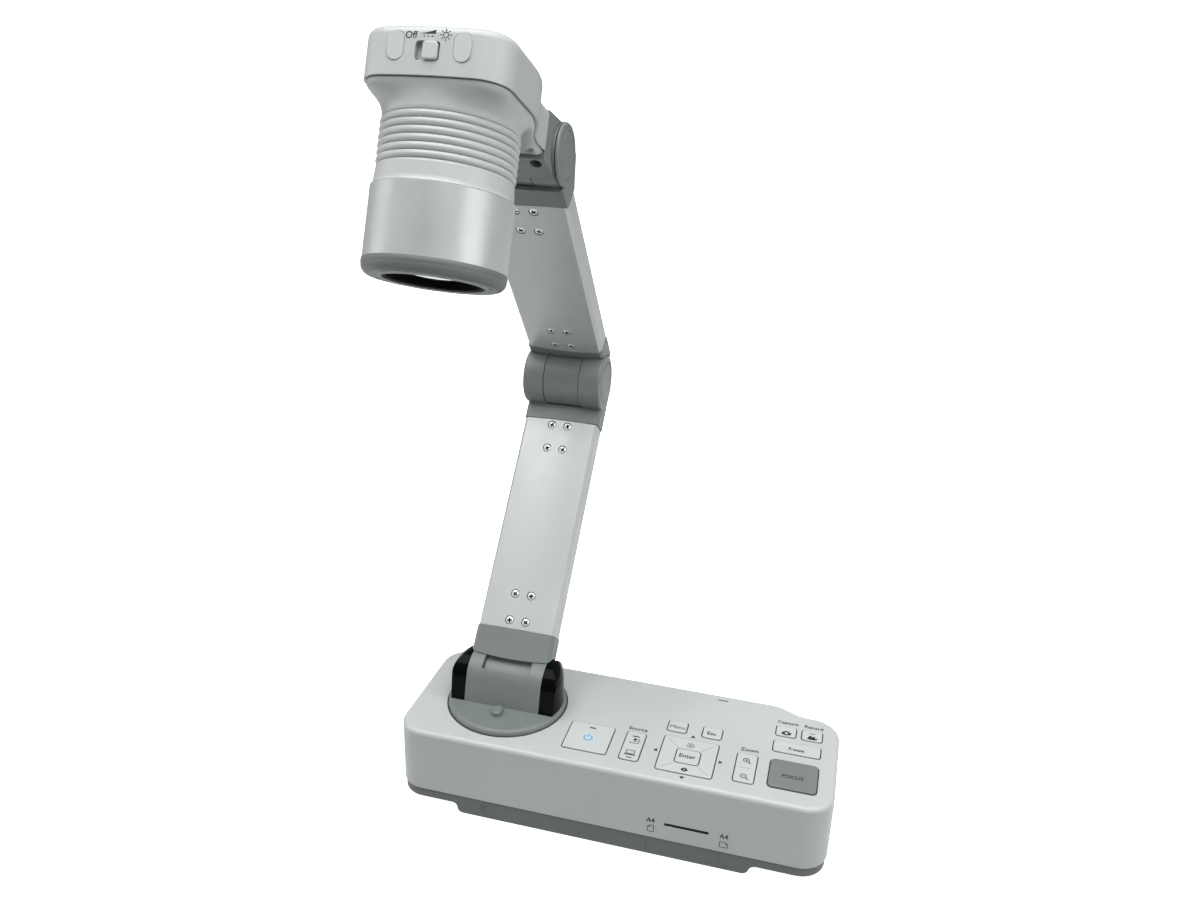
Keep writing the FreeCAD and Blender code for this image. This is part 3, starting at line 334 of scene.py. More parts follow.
def skin(bm, rings, closed=True):
    """Faces between rings of equal length; a closed skin also joins the last ring to the first."""
    count = len(rings[0])
    pairs = list(zip(rings, rings[1:]))
    if closed:
        pairs.append((rings[-1], rings[0]))
    for low, high in pairs:
        for k in range(count):
            j = (k + 1) % count
            bm.faces.new((low[k], low[j], high[j], high[k]))


# ------------------------------------------------------------------ head shell with the ribbed grip

# Heights (w) run up the barrel's axis; all lengths are in millimetres
BORE_R = 29.4
NECK_R = 31.6
NECK_W = 64.0
SEAM_W = 75.15
SHELL_TOP = 75.5
SHELL_FLOOR = 73.6
SHELL_STEPS = 192

# Plan of the head
HEAD_HALF = 33.4
HEAD_FRONT = -32.8
HEAD_CORNER = 14.0
HEAD_REAR_HALF = 21.4
HEAD_REAR_Y = 70.0
FRONT_HALF = HEAD_HALF - HEAD_CORNER
FRONT_BULGE = 0.9
TAPER_START_Y = 8.0
TAPER_LENGTH = 54.0
TAPER_STEPS = 40

# Foot of the grip, where it meets the barrel
FOOT_R = 33.1
FOOT_W = 32.4
FOOT_FLARE = 1.15
FOOT_ROUND = 3.6

# Ribs of the grip
GROOVES = 7
FIRST_GROOVE_W = 42.0
RIB_PITCH = 3.47
RIB_R = 31.25
RIB_SWELL = 0.72
GROOVE_R = 30.75
GROOVE_LIP_R = 31.15
GROOVE_HALF = 0.16
GROOVE_FLOOR_HALF = 0.05

# Flare from the neck out to the seam
FLARE_STEPS = 30
NECK_ROUND = 6.8
LIP_DEPTH = 4.7
LIP_ROUND = 8.0
LIP_ROUND_REAR = 13.0

# Round recesses under the rear of the head
RECESS_X = 17.3
RECESS_Y = 57.9
RECESS_W = (66.0, 73.35)
RECESS_R = 3.0


def arc_points(centre, radius, start, end, count):
    points = []
    for k in range(count + 1):
        a = math.radians(start + (end - start) * k / count)
        points.append((centre[0] + radius * math.cos(a), centre[1] + radius * math.sin(a)))
    return points


def front_bulge(x):
    """How far the head's front stands out of flat."""
    return FRONT_BULGE * (1 - (x / FRONT_HALF) ** 2)


def head_side():
    """Right half of the head's plan, from the middle of the front round to the middle of the rear."""
    points = [(x, HEAD_FRONT - front_bulge(x)) for x in (0, 3, 6, 9, 12, 15, 18, FRONT_HALF)]
    points += arc_points((FRONT_HALF, HEAD_FRONT + HEAD_CORNER), HEAD_CORNER, -90, 0, 16)[1:]
    for k in range(1, TAPER_STEPS + 1):
        t = k / TAPER_STEPS
        ease = t * t * (3 - 2 * t)
        x = HEAD_HALF + (HEAD_REAR_HALF - HEAD_HALF) * ease
        points.append((x, TAPER_START_Y + TAPER_LENGTH * t))
    points += [(HEAD_REAR_HALF, HEAD_REAR_Y), (0, HEAD_REAR_Y)]
    return points


def outline_reach(angle):
    """Distance from the barrel's axis to the head's outline in that direction."""
    mirrored = abs(math.atan2(math.cos(angle), -math.sin(angle)))
    ray = (math.sin(mirrored), -math.cos(mirrored))
    side = head_side()
    for (x0, y0), (x1, y1) in zip(side, side[1:]):
        ex, ey = x1 - x0, y1 - y0
        cross = ray[0] * ey - ray[1] * ex
        if abs(cross) < 1e-9:
            continue
        distance = (x0 * ey - y0 * ex) / cross
        along = (x0 * ray[1] - y0 * ray[0]) / cross
        if distance > 0 and -1e-6 <= along <= 1 + 1e-6:
            return distance
    return HEAD_HALF


def quarter(t):
    """Rise of a quarter circle, from 0 at t = 0 to 1 at t = 1."""
    t = max(0.0, min(1.0, t))
    return math.sqrt(max(0.0, 1 - (1 - t) ** 2))


def grip_profile():
    """Radius and height up the grip: a flare at the foot, then rounded ribs between narrow grooves."""
    profile = []
    for w in (FOOT_W, 32.6, 33.0, 33.6, 34.4, 35.4, 36.4):
        profile.append((FOOT_R - FOOT_FLARE * quarter((w - FOOT_W) / FOOT_ROUND), w))
    profile += [(NECK_R, 39.0), (NECK_R, 40.6), (31.5, 41.4)]
    for k in range(GROOVES):
        groove = FIRST_GROOVE_W + RIB_PITCH * k
        profile += [(GROOVE_LIP_R, groove - GROOVE_HALF), (GROOVE_R, groove - GROOVE_FLOOR_HALF)]
        profile += [(GROOVE_R, groove + GROOVE_FLOOR_HALF), (GROOVE_LIP_R, groove + GROOVE_HALF)]
        if k < GROOVES - 1:
            for t in (0.14, 0.26, 0.38, 0.5, 0.62, 0.74, 0.86):
                profile.append((RIB_R + RIB_SWELL * math.sin(math.pi * t), groove + RIB_PITCH * t))
    return profile


def drill(obj, start, end, radius):
    """Cuts a round recess out of an object."""
    bm = bmesh.new()
    axis = end - start
    turn = axis.to_track_quat("Z", "Y").to_matrix().to_4x4()
    place = Matrix.Translation((start + end) / 2) @ turn
    bmesh.ops.create_cone(
        bm, cap_ends=True, segments=48, radius1=radius, radius2=radius, depth=axis.length, matrix=place,
    )
    cutter = finish_mesh(bm, "cutter", LOOKS["white_shell"])
    cut = obj.modifiers.new("recess", "BOOLEAN")
    cut.object = cutter
    cut.solver = "EXACT"
    shaped = bpy.data.meshes.new_from_object(obj.evaluated_get(bpy.context.evaluated_depsgraph_get()))
    obj.modifiers.remove(cut)
    obj.data = shaped
    bpy.data.objects.remove(cutter)


def make_head_shell():
    """Neck, ribbed grip and the flowing flare that meets the top cap at its seam, as one closed skin."""
    bm = bmesh.new()
    angles = [2 * math.pi * k / SHELL_STEPS for k in range(SHELL_STEPS)]
    reach = [outline_reach(a) for a in angles]

    def ring(radii, heights):
        return [
            bm.verts.new(HEAD @ Vector((r * math.cos(a), r * math.sin(a), w)))
            for a, r, w in zip(angles, radii, heights)
        ]

    def round_ring(r, w):
        return ring([r] * SHELL_STEPS, [w] * SHELL_STEPS)

    rings = [round_ring(BORE_R, FOOT_W)]
    rings += [round_ring(r, w) for r, w in grip_profile()]
    for step in range(FLARE_STEPS + 1):
        t = (1 - math.cos(math.pi * step / FLARE_STEPS)) / 2
        radii, heights = [], []
        for a, outer in zip(angles, reach):
            width = outer - NECK_R
            rear = max(0.0, math.sin(a))
            lip_round = LIP_ROUND + LIP_ROUND_REAR * rear ** 2
            out = width * t
            lip = LIP_DEPTH * quarter((width - out) / lip_round)
            lip_at_neck = LIP_DEPTH * quarter(width / lip_round)
            sink = 1 - quarter(out / min(NECK_ROUND, width))
            radii.append(NECK_R + out)
            heights.append(SEAM_W - lip - (SEAM_W - lip_at_neck - NECK_W) * sink)
        rings.append(ring(radii, heights))
    for inset, w in ((0.75, SEAM_W + 0.02), (0.80, SHELL_TOP), (1.9, SHELL_TOP), (2.0, SHELL_FLOOR)):
        rings.append(ring([r - inset for r in reach], [w] * SHELL_STEPS))
    rings.append(round_ring(BORE_R, SHELL_FLOOR))
    skin(bm, rings)
    return piece(bm, "head_shell", LOOKS["white_shell"], "head", ["head_housing"], 40.0)


head_shell = make_head_shell()
for side in (-1, 1):
    start, end = (HEAD @ Vector((side * RECESS_X, RECESS_Y, w)) for w in RECESS_W)
    drill(head_shell, start, end, RECESS_R)

# ------------------------------------------------------------------ end caps of the elbow and head hinges

CAP_STEPS = 96
CAP_SEAT_X = 25.7
CAP_RIM_X = 26.75
CAP_EDGE_X = 27.1
CAP_EDGE_BREAK = 0.4
CAP_DOME = ((0.7, 27.3), (0.35, 27.4))
CAP_CENTRE_X = 27.42


def make_ear_caps(name, body, place, y, z, radius):
    """Slightly domed discs that close the round seats in the outer faces of a hinge."""
    profile = [(radius, CAP_SEAT_X), (radius, CAP_RIM_X), (radius - CAP_EDGE_BREAK, CAP_EDGE_X)]
    profile += [(radius * share, x) for share, x in CAP_DOME]
    turns = [2 * math.pi * k / CAP_STEPS for k in range(CAP_STEPS)]
    bm = bmesh.new()
    for side in (-1, 1):
        rings = []
        for r, x in profile:
            points = [Vector((side * x, y + r * math.cos(a), z + r * math.sin(a))) for a in turns]
            rings.append([bm.verts.new(place @ point) for point in points])
        skin(bm, rings, closed=False)
        bm.faces.new(rings[0])
        centre = bm.verts.new(place @ Vector((side * CAP_CENTRE_X, y, z)))
        for k in range(CAP_STEPS):
            bm.faces.new((centre, rings[-1][k], rings[-1][(k + 1) % CAP_STEPS]))
    piece(bm, name, LOOKS["hinge_grey"], body, sharp_deg=40.0)


make_ear_caps("elbow_end_caps", "lower_arm", LOWER_ARM, y=-16.344, z=205.052, radius=14.1)
make_ear_caps("head_hinge_end_caps", "upper_arm", UPPER_ARM, y=21.6, z=190.7, radius=12.9)

# ------------------------------------------------------------------ cross-recess screws on the arms

SCREW_R = 2.4
SCREW_X = 5.5
SCREW_RINGS = 14
SCREW_SPOKES = 48
SCREW_DEPTH = 1.2
DOME_RISE = 0.32
DOME_POWER = 2.2
CROSS_DEPTH = 1.2
CROSS_CENTRE = 0.9
CROSS_HALF = 0.42
CROSS_HUB_R = 0.8
CROSS_REACH = 1.55
# How far out and how deep the faces of each cross recess are given painted shade
SHADED_REACH = 1.6
SHADED_DEPTH = 0.12


def screw_dome(r):
    """Height of a screw's head above its seat at radius r."""
    return DOME_RISE * (1 - (r / SCREW_R) ** DOME_POWER)


def screw_sink(r, a):
    """Depth of the cross recess at radius r and angle a from one of its arms."""
    narrow = min(abs(math.cos(a)) * r, abs(math.sin(a)) * r) < CROSS_HALF
    in_cross = (narrow or r < CROSS_HUB_R) and r < CROSS_REACH
    return CROSS_DEPTH * (1 - r / SCREW_R) if in_cross else 0.0


def make_screws(name, body, place, seat, rows, node):
    """Domed heads with a tapered cross, each turned its own way; faces deep in the cross get the near-black
    shadow-gap finish as painted shade.
    """
    bm = bmesh.new()
    angles = [2 * math.pi * k / SCREW_SPOKES for k in range(SCREW_SPOKES)]
    for number, z in enumerate(rows):
        for side in (-1, 1):
            x = side * SCREW_X
            turn = 0.55 + 0.9 * number + 0.4 * side
            centre = bm.verts.new(place @ Vector((x, seat + CROSS_CENTRE, z)))
            rings = []
            for i in range(1, SCREW_RINGS + 1):
                r = SCREW_R * i / SCREW_RINGS
                ring = []
                for a in angles:
                    y = seat - screw_dome(r) + screw_sink(r, a - turn)
                    ring.append(bm.verts.new(place @ Vector((x + r * math.cos(a), y, z + r * math.sin(a)))))
                rings.append(ring)
            for k in range(SCREW_SPOKES):
                bm.faces.new((centre, rings[0][k], rings[0][(k + 1) % SCREW_SPOKES]))
            skirt = []
            for a in angles:
                rim = Vector((x + SCREW_R * math.cos(a), seat + SCREW_DEPTH, z + SCREW_R * math.sin(a)))
                skirt.append(bm.verts.new(place @ rim))
            skin(bm, rings + [skirt], closed=False)
            bm.faces.new(skirt)
    heads = piece(bm, name, LOOKS["screw_steel"], body, [node], 28.0)
    # Painted shade: faces sunk in the middle of each cross are coloured near-black
    heads.data.materials.append(SHADOW_GAP)
    for face in heads.data.polygons:
        local = place.inverted() @ (face.center / MM)
        reach = min(math.hypot(local.x - side * SCREW_X, local.z - z) for side in (-1, 1) for z in rows)
        sunk = local.y > seat - screw_dome(reach) + SHADED_DEPTH
        if reach < SHADED_REACH and sunk:
            face.material_index = 1


make_screws(
    "lower_arm_screw_heads", "lower_arm", LOWER_ARM,
    seat=-11.35, rows=(34.6, 52.1, 154.5, 171.5), node="lower_arm_screws",
)
make_screws(
    "upper_arm_screw_heads", "upper_arm", UPPER_ARM,
    seat=6.95, rows=(29.7, 45.5, 144.0, 160.3), node="upper_arm_screws",
)

# ------------------------------------------------------------------ printed marks

# Marks are drawn in millimetres, in the plane of the surface that they lie on.
# Each stands a little proud of it, and reaches a little into it.
PRINT_RISE = 0.05
THIN_RISE = 0.02
FINE_RISE = 0.015
PRINT_SINK = 0.10

# How far the outline of a letter is grown, as a share of its size
WORD_WEIGHT = 0.022
PANEL_WORD_WEIGHT = 0.02


def rect(cx, cy, width, height, turn=0.0):
    c, s = math.cos(turn), math.sin(turn)
    points = []
    for a, b in ((-1, -1), (1, -1), (1, 1), (-1, 1)):
        u, v = a * width / 2, b * height / 2
        points.append((cx + c * u - s * v, cy + s * u + c * v))
    return points


def ring_faces(cx, cy, inner, outer, start=0.0, end=360.0, steps=36):
    """A flat ring, or part of one, as four-sided faces; angles are in degrees."""
    faces = []
    for k in range(steps):
        a0 = math.radians(start + (end - start) * k / steps)
        a1 = math.radians(start + (end - start) * (k + 1) / steps)
        faces.append([
            (cx + r * math.cos(a), cy + r * math.sin(a))
            for r, a in ((inner, a0), (outer, a0), (outer, a1), (inner, a1))
        ])
    return faces


def disc(cx, cy, radius, steps):
    turns = [2 * math.pi * k / steps for k in range(steps)]
    return [(cx + radius * math.cos(a), cy + radius * math.sin(a)) for a in turns]


def stroke(x0, y0, x1, y1, width):
    length = math.hypot(x1 - x0, y1 - y0)
    return rect((x0 + x1) / 2, (y0 + y1) / 2, length, width, math.atan2(y1 - y0, x1 - x0))


def outline_strokes(points, width):
    return [stroke(*p, *q, width) for p, q in zip(points, points[1:] + points[:1])]


def sun(cx, cy, inner, outer, ray_start, ray_end, ray_width):
    """A small ring with eight rays."""
    faces = ring_faces(cx, cy, inner, outer)
    for k in range(8):
        a = math.radians(45 * k)
        c, s = math.cos(a), math.sin(a)
        ray = (cx + c * ray_start, cy + s * ray_start, cx + c * ray_end, cy + s * ray_end)
        faces.append(stroke(*ray, ray_width))
    return faces


def flat(z):
    """A level surface that faces up."""
    return lambda u, v, n: Vector((u, v, z + n))


def wall(y):
    """An upright surface that faces the front."""
    return lambda u, v, n: Vector((u, y - n, v))


def cap_front(u, v, n):
    return HEAD @ Vector((u, CAP_FRONT_Y - front_bulge(u) - n, v))


PANEL_Z = 57.3
KEY_RISE = 0.6
TALL_KEY_RISE = 1.0
CAP_FRONT_Y = -33.9
PANEL = flat(PANEL_Z)
KEY = flat(PANEL_Z + KEY_RISE)
TALL_KEY = flat(PANEL_Z + TALL_KEY_RISE)
FRONT_WALL = wall(-48.0)
SLOT_MOUTH = wall(-47.5)
SKIRT_WALL = wall(-47.1)


def printed(name, faces, surface, body, material=INK, rise=PRINT_RISE):
    """Thin solid marks lying on a surface, given as flat faces in that surface's own plane."""
    bm = bmesh.new()
    for points in faces:
        bm.faces.new([bm.verts.new((u, v, 0.0)) for u, v in points])
    bmesh.ops.remove_doubles(bm, verts=bm.verts, dist=1e-4)
    grown = bmesh.ops.extrude_face_region(bm, geom=list(bm.faces))
    for vert in grown["geom"]:
        if isinstance(vert, bmesh.types.BMVert):
            vert.co.z = 1.0
    for vert in bm.verts:
        vert.co = surface(vert.co.x, vert.co.y, rise if vert.co.z > 0.5 else -PRINT_SINK)
    piece(bm, name, material, body)


def word(text, width, cx, cy, surface, body, height=None, weight=WORD_WEIGHT, name=None):
    """A generic control word in the built-in typeface, fitted to a width and centred."""
    curve = bpy.data.curves.new(text, "FONT")
    curve.body = text
    curve.offset = weight
    curve.resolution_u = 4
    curve.extrude = 0.5
    holder = bpy.data.objects.new(text, curve)
    scene.collection.objects.link(holder)
    evaluated = holder.evaluated_get(bpy.context.evaluated_depsgraph_get())
    mesh = bpy.data.meshes.new_from_object(evaluated)
    bpy.data.objects.remove(holder)
    bm = bmesh.new()
    bm.from_mesh(mesh)
    bmesh.ops.remove_doubles(bm, verts=bm.verts, dist=1e-5)
    xs, ys = [v.co.x for v in bm.verts], [v.co.y for v in bm.verts]
    low = Vector((min(xs), min(ys)))
    scale_x = width / (max(xs) - low.x)
    scale_y = scale_x if height is None else height / (max(ys) - low.y)
    mid_x, mid_y = (max(xs) + low.x) / 2, (max(ys) + low.y) / 2
    for vert in bm.verts:
        n = PRINT_RISE if vert.co.z > 0 else -PRINT_SINK
        vert.co = surface(cx + (vert.co.x - mid_x) * scale_x, cy + (vert.co.y - mid_y) * scale_y, n)
    piece(bm, name or "print_" + text.lower(), INK, body, sharp_deg=30.0)


def loop(cx, cy, width, depth, corner, grow):
    """Rounded rectangle, anticlockwise, grown by that much on every side."""
    corner += grow
    points = []
    for k, (sx, sy) in enumerate(((1, -1), (1, 1), (-1, 1), (-1, -1))):
        centre = (cx + sx * (width / 2 + grow - corner), cy + sy * (depth / 2 + grow - corner))
        points += arc_points(centre, corner, 90 * (k - 1), 90 * k, 8)
    return points


def band(outer, inner):
    """Faces between two loops of equal length."""
    pairs = list(zip(outer, inner))
    return [[a, c, d, b] for (a, b), (c, d) in zip(pairs, pairs[1:] + pairs[:1])]


# Shadow gaps, painted shade: a dark edge just outside each key's opening, and round the turntable, where the
# gaps fall into shade.
# An opening is its middle (x, y), width, depth and corner radius.
OPENINGS = {
    "power": (60.7, -22.0, 27.4, 26.7, 1.6),
    "source": (88.7, -22.3, 11.6, 27.1, 1.6),
    "pad": (122.8, -22.1, 33.7, 32.7, 1.6),
    "menu": (111.7, 5.0, 11.8, 10.5, 1.6),
    "escape": (133.8, 4.8, 11.8, 10.7, 1.6),
    "zoom": (157.9, -22.4, 12.0, 26.5, 1.6),
    "capture": (178.3, 20.4, 12.2, 9.9, 1.6),
    "record": (194.4, 20.5, 12.3, 10.2, 1.6),
    "freeze": (186.2, 4.6, 28.5, 10.8, 1.6),
    "focus": (186.2, -21.8, 28.3, 25.6, 2.8),
}
ENTER_OPENING = (123.0, -23.2, 14.3, 12.6, 1.6)
GAP_START = 0.22
GAP_END = 0.62
ENTER_GAP_END = 0.6
TURNTABLE_GAP = (38.5, 39.15)

for key, opening in OPENINGS.items():
    edge = band(loop(*opening, GAP_END), loop(*opening, GAP_START))
    printed("gap_" + key, edge, PANEL, "base", SHADOW_GAP, THIN_RISE)
edge = band(loop(*ENTER_OPENING, ENTER_GAP_END), loop(*ENTER_OPENING, GAP_START))
printed("gap_enter", edge, KEY, "navigation_pad", SHADOW_GAP, THIN_RISE)
edge = ring_faces(0, 0, *TURNTABLE_GAP, steps=128)
printed("gap_turntable", edge, PANEL, "base", SHADOW_GAP, THIN_RISE)

# Dark mouth of the card slot: a near-black sheet set just inside the slot, painted shade
printed("gap_card_slot", [rect(128.7, 25.8, 26.7, 2.2)], SLOT_MOUTH, "base", SHADOW_GAP)

# Power key: lit symbol in its glow, and the small dark lamp window behind it
printed("print_power_glow", [disc(60.5, -23.0, 3.9, 40)], KEY, "power_key", GLOW, THIN_RISE)
power = ring_faces(60.5, -23.0, 2.25, 2.85, 118, 422, 40) + [rect(60.5, -20.9, 0.62, 3.0)]
printed("print_power_symbol", power, KEY, "power_key", LIT_BLUE)
printed("print_power_lamp", [rect(61.0, -12.9, 4.0, 1.15)], KEY, "power_key")

# Source key: a projected page at the top, a portable computer at the bottom
PAGE_EDGES = (
    (86.2, -19.9, 91.3, -19.9), (91.3, -19.9, 91.6, -15.6),
    (86.2, -19.9, 86.6, -18.9), (90.6, -15.6, 91.6, -15.6),
)
page = [rect(88.9, -13.2, 4.3, 0.95), disc(89.0, -16.1, 1.05, 20)]
page += [stroke(*line, 0.45) for line in PAGE_EDGES]
page += [stroke(x, -17.4, 89.0, -18.6, 0.5) for x in (88.1, 89.9)]
printed("print_source_camera", page, KEY, "source_key")
computer = outline_strokes([(86.3, -30.2), (91.3, -30.2), (91.3, -27.1), (86.3, -27.1)], 0.5)
computer += [rect(88.8, -31.2, 6.9, 0.95), rect(88.8, -33.9, 3.6, 0.8)]
printed("print_source_computer", computer, KEY, "source_key")

# Direction arrows round the pad
ARROWS = {
    "up": [(121.2, -3.1), (124.4, -3.1), (122.8, -0.7)],
    "down": [(121.2, -40.8), (122.85, -43.4), (124.5, -40.8)],
    "left": [(103.8, -22.9), (103.8, -19.8), (101.4, -21.35)],
    "right": [(141.8, -20.0), (141.8, -23.1), (144.2, -21.55)],
}
for side, points in ARROWS.items():
    printed("print_arrow_" + side, [points], PANEL, "base")

# The pad: fine creases to its corners, drawn as faint dark lines of painted shade; brightness above and iris
# below the middle key
CREASES = (
    (108.2, -8.0, 116.0, -15.6), (108.2, -36.4, 116.0, -30.6),
    (130.0, -15.6, 137.6, -8.0), (130.0, -30.6, 137.6, -36.6),
)
creases = [stroke(*line, 0.22) for line in CREASES]
printed("print_pad_creases", creases, KEY, "navigation_pad", CREASE_SHADE, FINE_RISE)
printed("print_brightness", sun(122.9, -11.9, 0.75, 1.2, 1.65, 2.75, 0.5), KEY, "navigation_pad")
iris = ring_faces(123.1, -35.2, 0.55, 1.75, steps=30)
iris += [rect(123.1 + sign * 1.55, -35.4, 1.0, 1.1) for sign in (-1, 1)]
printed("print_iris", iris, KEY, "navigation_pad")


def magnifier(cx, cy, plus):
    """A lens with its handle, holding a minus or a plus sign."""
    faces = ring_faces(cx, cy, 1.55, 2.05) + [stroke(cx + 1.4, cy - 1.4, cx + 2.9, cy - 2.7, 0.75)]
    faces.append(rect(cx, cy, 1.9, 0.45))
    if plus:
        faces.append(rect(cx, cy, 0.5, 1.9))
    return faces


printed("print_zoom_in", magnifier(157.7, -15.5, True), KEY, "zoom_key")
printed("print_zoom_out", magnifier(157.7, -30.4, False), KEY, "zoom_key")
# Painted shade: a faint dark line along the split between the zoom key's two halves
printed("print_zoom_split", [rect(157.9, -22.6, 8.5, 0.2)], KEY, "zoom_key", CREASE_SHADE, FINE_RISE)

# Capture and record keys: a still camera and a film camera
camera_icon = ring_faces(178.5, 18.3, 1.05, 1.95, steps=28)
camera_icon += [rect(176.6, 18.1, 1.9, 2.5), rect(180.5, 18.1, 1.9, 2.5), rect(178.5, 20.2, 2.6, 0.7)]
camera_icon += [rect(178.5, 16.6, 3.0, 0.6)]
printed("print_capture_icon", camera_icon, KEY, "capture_key")
recorder = [rect(194.4, 22.3, 3.5, 0.6), rect(194.2, 17.6, 4.6, 2.0), rect(194.4, 16.6, 6.2, 0.7)]
recorder += [disc(193.4, 19.1, 1.0, 18), disc(195.4, 19.0, 0.8, 18)]
recorder += [[(196.4, 17.4), (197.7, 16.9), (197.7, 18.3)]]
printed("print_record_icon", recorder, KEY, "record_key")

# Words: text, width, middle (x, y), surface, body and weight
WORDS = [
    ("Menu", 9.4, 111.8, 4.1, KEY, "menu_key", 0.0),
    ("Esc", 5.6, 133.6, 3.8, KEY, "escape_key", PANEL_WORD_WEIGHT),
    ("Enter", 10.0, 122.9, -23.0, TALL_KEY, "enter_key", PANEL_WORD_WEIGHT),
    ("Freeze", 9.6, 186.1, 3.4, KEY, "freeze_key", PANEL_WORD_WEIGHT),
    ("FOCUS", 12.6, 186.1, -23.6, TALL_KEY, "focus_key", PANEL_WORD_WEIGHT),
    ("Source", 12.0, 88.4, -4.6, PANEL, "base", PANEL_WORD_WEIGHT),
    ("Zoom", 11.2, 158.3, -4.5, PANEL, "base", PANEL_WORD_WEIGHT),
    ("Capture", 13.0, 178.7, 29.6, PANEL, "base", PANEL_WORD_WEIGHT),
    ("Record", 11.7, 195.0, 29.7, PANEL, "base", PANEL_WORD_WEIGHT),
]
for text, width, cx, cy, surface, body, weight in WORDS:
    word(text, width, cx, cy, surface, body, weight=weight)
printed("print_rear_bar", [rect(135.1, 41.5, 6.4, 0.9)], PANEL, "base")

# Front wall: paper-size marks with their page outlines, each with one corner folded
PAGE_FOLD = 1.3
for number, cx, z, width, height, side in (("1", 107.3, 21.0, 3.8, 4.6, -1), ("2", 151.5, 20.0, 4.8, 3.8, 1)):
    near, far, fold = cx - side * width / 2, cx + side * width / 2, cx + side * (width / 2 - PAGE_FOLD)
    top, bottom, crease = z + height / 2, z - height / 2, z + height / 2 - PAGE_FOLD
    faces = outline_strokes([(near, top), (near, bottom), (far, bottom), (far, crease), (fold, top)], 0.42)
    faces += [stroke(fold, top, fold, crease, 0.35), stroke(fold, crease, far, crease, 0.35)]
    printed("print_page_" + number, faces, FRONT_WALL, "base")
    word("A4", 5.2, cx - 0.3, z + 6.1, FRONT_WALL, "base", height=3.5, name="print_paper_size_" + number)

# Bottom cover: guide lines for the two page widths and the centre mark, sunk tone on tone, drawn as flat
# marks a shade darker than the cover: painted shade of their grooves
for number, x, z_low, z_high in (("1", 105.0, 2.9, 11.3), ("2", 149.1, 2.8, 11.7)):
    line = rect(x, (z_low + z_high) / 2, 0.8, z_high - z_low)
    printed("cover_guide_" + number, [line], SKIRT_WALL, "base", GROOVE_SHADE)
printed("cover_centre_mark", [[(-1.9, 10.1), (-0.6, 3.6), (2.9, 10.1)]], SKIRT_WALL, "base", GROOVE_SHADE)

# Head: lamp switch positions
word("Off", 5.6, -8.2, 92.5, cap_front, "head", height=3.1, weight=0.008)
wedge = [[(-4.0, 92.95), (2.8, 93.1), (2.8, 94.8)]] + [disc(x, 92.0, 0.36, 14) for x in (-2.4, -0.5, 1.35)]
printed("print_dimmer", wedge, cap_front, "head")
printed("print_full_light", sun(7.3, 92.8, 1.0, 1.35, 1.75, 2.6, 0.42), cap_front, "head")

# ------------------------------------------------------------------ floor, light and camera


def stage_material(name, colour, emission=0.0):
    """Matt white for the floor and backdrop, which may also glow."""
    look = Look(name)
    tone = look.ramp(look.noise(1.5, 2.0), [(0.3, tint(colour, 0.99)), (0.7, colour)])
    look.join(tone, look.shader.inputs["Base Color"])
    look.set(Roughness=0.9, Specular_IOR_Level=0.1)
    if emission:
        look.join(tone, look.shader.inputs["Emission Color"])
        look.set(Emission_Strength=emission)
    return look.material


STAGE_STEPS = 64


def lathe_stage(name, profile, material):
    """A round floor or backdrop, turned from radii and heights in millimetres."""
    bm = bmesh.new()
    turns = [2 * math.pi * k / STAGE_STEPS for k in range(STAGE_STEPS)]
    rings = [[bm.verts.new((r * math.cos(a), r * math.sin(a), z)) for a in turns] for r, z in profile]
    skin(bm, rings, closed=False)
    bm.faces.new(rings[0])
    obj = finish_mesh(bm, name, material, 60.0)
    return obj


floor = lathe_stage(
    "floor",
    [(900, -0.5), (1800, -0.5), (3200, -0.5)],
    stage_material("floor_white", (0.86, 0.86, 0.86)),
)
floor.visible_diffuse = False
backdrop = lathe_stage(
    "backdrop",
    [(3150, -0.2), (3400, 60), (3700, 500), (3800, 1500), (3300, 2900), (2000, 3900), (100, 4300)],
    stage_material("backdrop_white", (1.0, 1.0, 1.0), 1.05),
)
backdrop.visible_diffuse = False
backdrop.visible_glossy = False
backdrop.visible_shadow = False
backdrop.visible_transmission = False


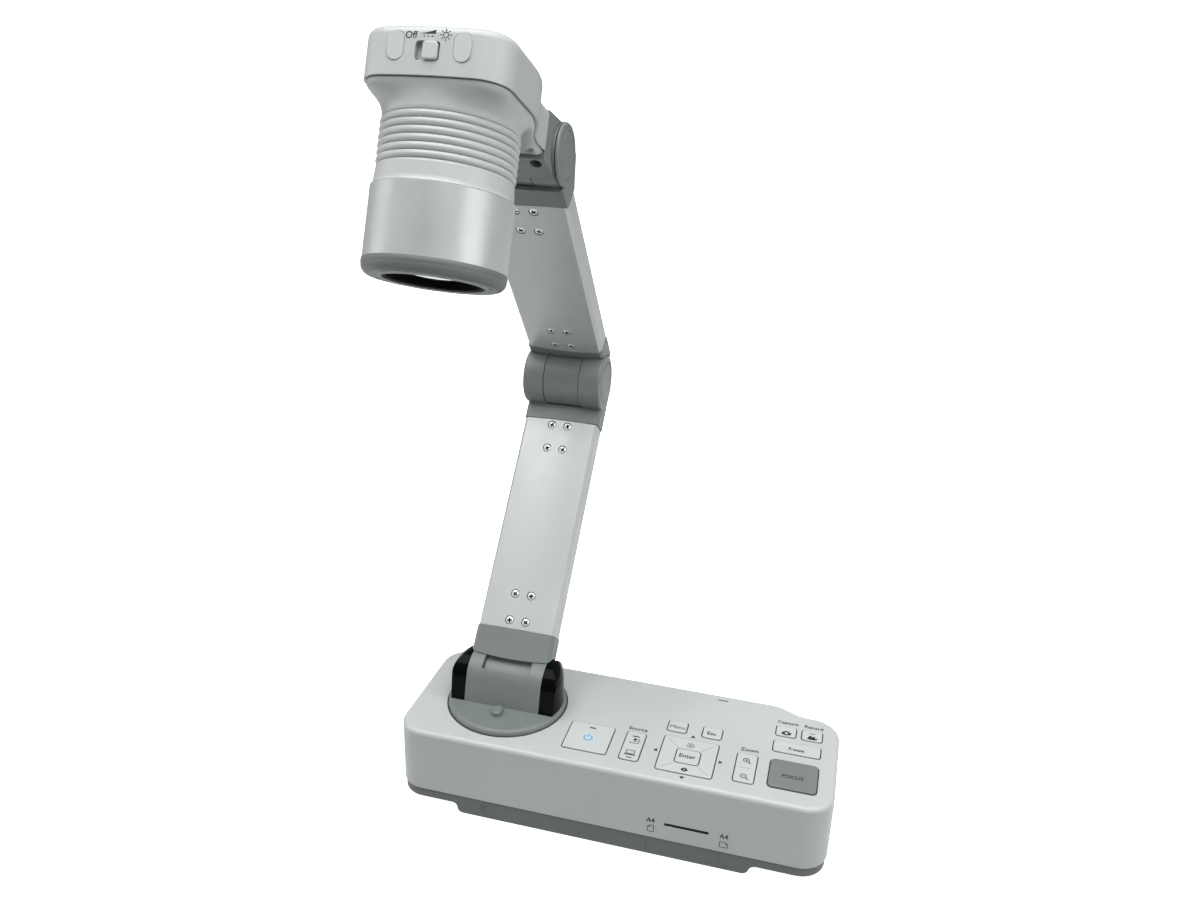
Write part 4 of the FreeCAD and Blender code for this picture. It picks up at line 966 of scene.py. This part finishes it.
def studio_world(level, rise, lobes, front_drop, back_drop):
    """Soft light from all round, brighter from above and from the front left and right, and dimmer from
    straight ahead and from behind."""
    world = bpy.data.worlds.new("studio")
    scene.world = world
    world.use_nodes = True
    tree = world.node_tree
    background = tree.nodes["Background"]
    background.inputs["Color"].default_value = (0.97, 0.99, 1.0, 1.0)
    coords = tree.nodes.new("ShaderNodeTexCoord")
    axes = tree.nodes.new("ShaderNodeSeparateXYZ")
    tree.links.new(coords.outputs["Generated"], axes.inputs["Vector"])

    def math_node(operation, first, second):
        node = tree.nodes.new("ShaderNodeMath")
        node.operation = operation
        for socket, value in zip(node.inputs, (first, second)):
            if isinstance(value, float):
                socket.default_value = value
            else:
                tree.links.new(value, socket)
        return node.outputs["Value"]

    front = math_node("MAXIMUM", math_node("MULTIPLY", axes.outputs["Y"], -1.0), 0.0)
    across = math_node("ABSOLUTE", axes.outputs["X"], 0.0)
    lobe_light = math_node("MULTIPLY", math_node("MULTIPLY", across, front), 2.0 * lobes)
    overhead = math_node("MULTIPLY", axes.outputs["Z"], rise)
    drop = math_node("MULTIPLY", math_node("MULTIPLY", front, front), front_drop)
    back = math_node("MAXIMUM", axes.outputs["Y"], 0.0)
    back_fall = math_node("MULTIPLY", math_node("MULTIPLY", back, back), back_drop)
    total = math_node("ADD", math_node("ADD", lobe_light, overhead), level)
    strength = math_node("SUBTRACT", math_node("SUBTRACT", total, drop), back_fall)
    tree.links.new(math_node("MAXIMUM", strength, 0.02), background.inputs["Strength"])


studio_world(level=0.43, rise=0.12, lobes=0.46, front_drop=0.50, back_drop=0.20)


def softbox(name, place, aim, width, height, power):
    """A rectangular studio light, in metres and watts, pointed at a place."""
    light = bpy.data.lights.new(name, "AREA")
    light.shape = "RECTANGLE"
    light.size, light.size_y = width, height
    light.energy = power
    obj = bpy.data.objects.new(name, light)
    obj.location = place
    obj.rotation_euler = (Vector(aim) - Vector(place)).to_track_quat("-Z", "Y").to_euler()
    scene.collection.objects.link(obj)


softbox("overhead", (0.0, -0.34, 1.9), aim=(0.05, 0.0, 0.1), width=2.2, height=1.6, power=41.5)
softbox("right_panel", (0.75, -0.22, 0.62), aim=(0.0, -0.1, 0.42), width=0.5, height=0.6, power=1.9)
softbox("left_panel", (-0.9, -0.2, 0.45), aim=(0.0, -0.1, 0.38), width=0.5, height=0.7, power=1.2)

# Camera at the photograph's place and angle
camera = bpy.data.cameras.new("camera")
camera.sensor_width = 36.0
camera.lens = 30.7946
camera.clip_start, camera.clip_end = 0.02, 30.0
camera_object = bpy.data.objects.new("camera", camera)
camera_object.location = (0.188725, -0.531925, 0.456986)
camera_object.rotation_euler = [math.radians(a) for a in (68.3985, -1.9273, 14.8)]
scene.collection.objects.link(camera_object)
scene.camera = camera_object
scene.view_settings.view_transform = "Standard"

bpy.context.view_layer.update()
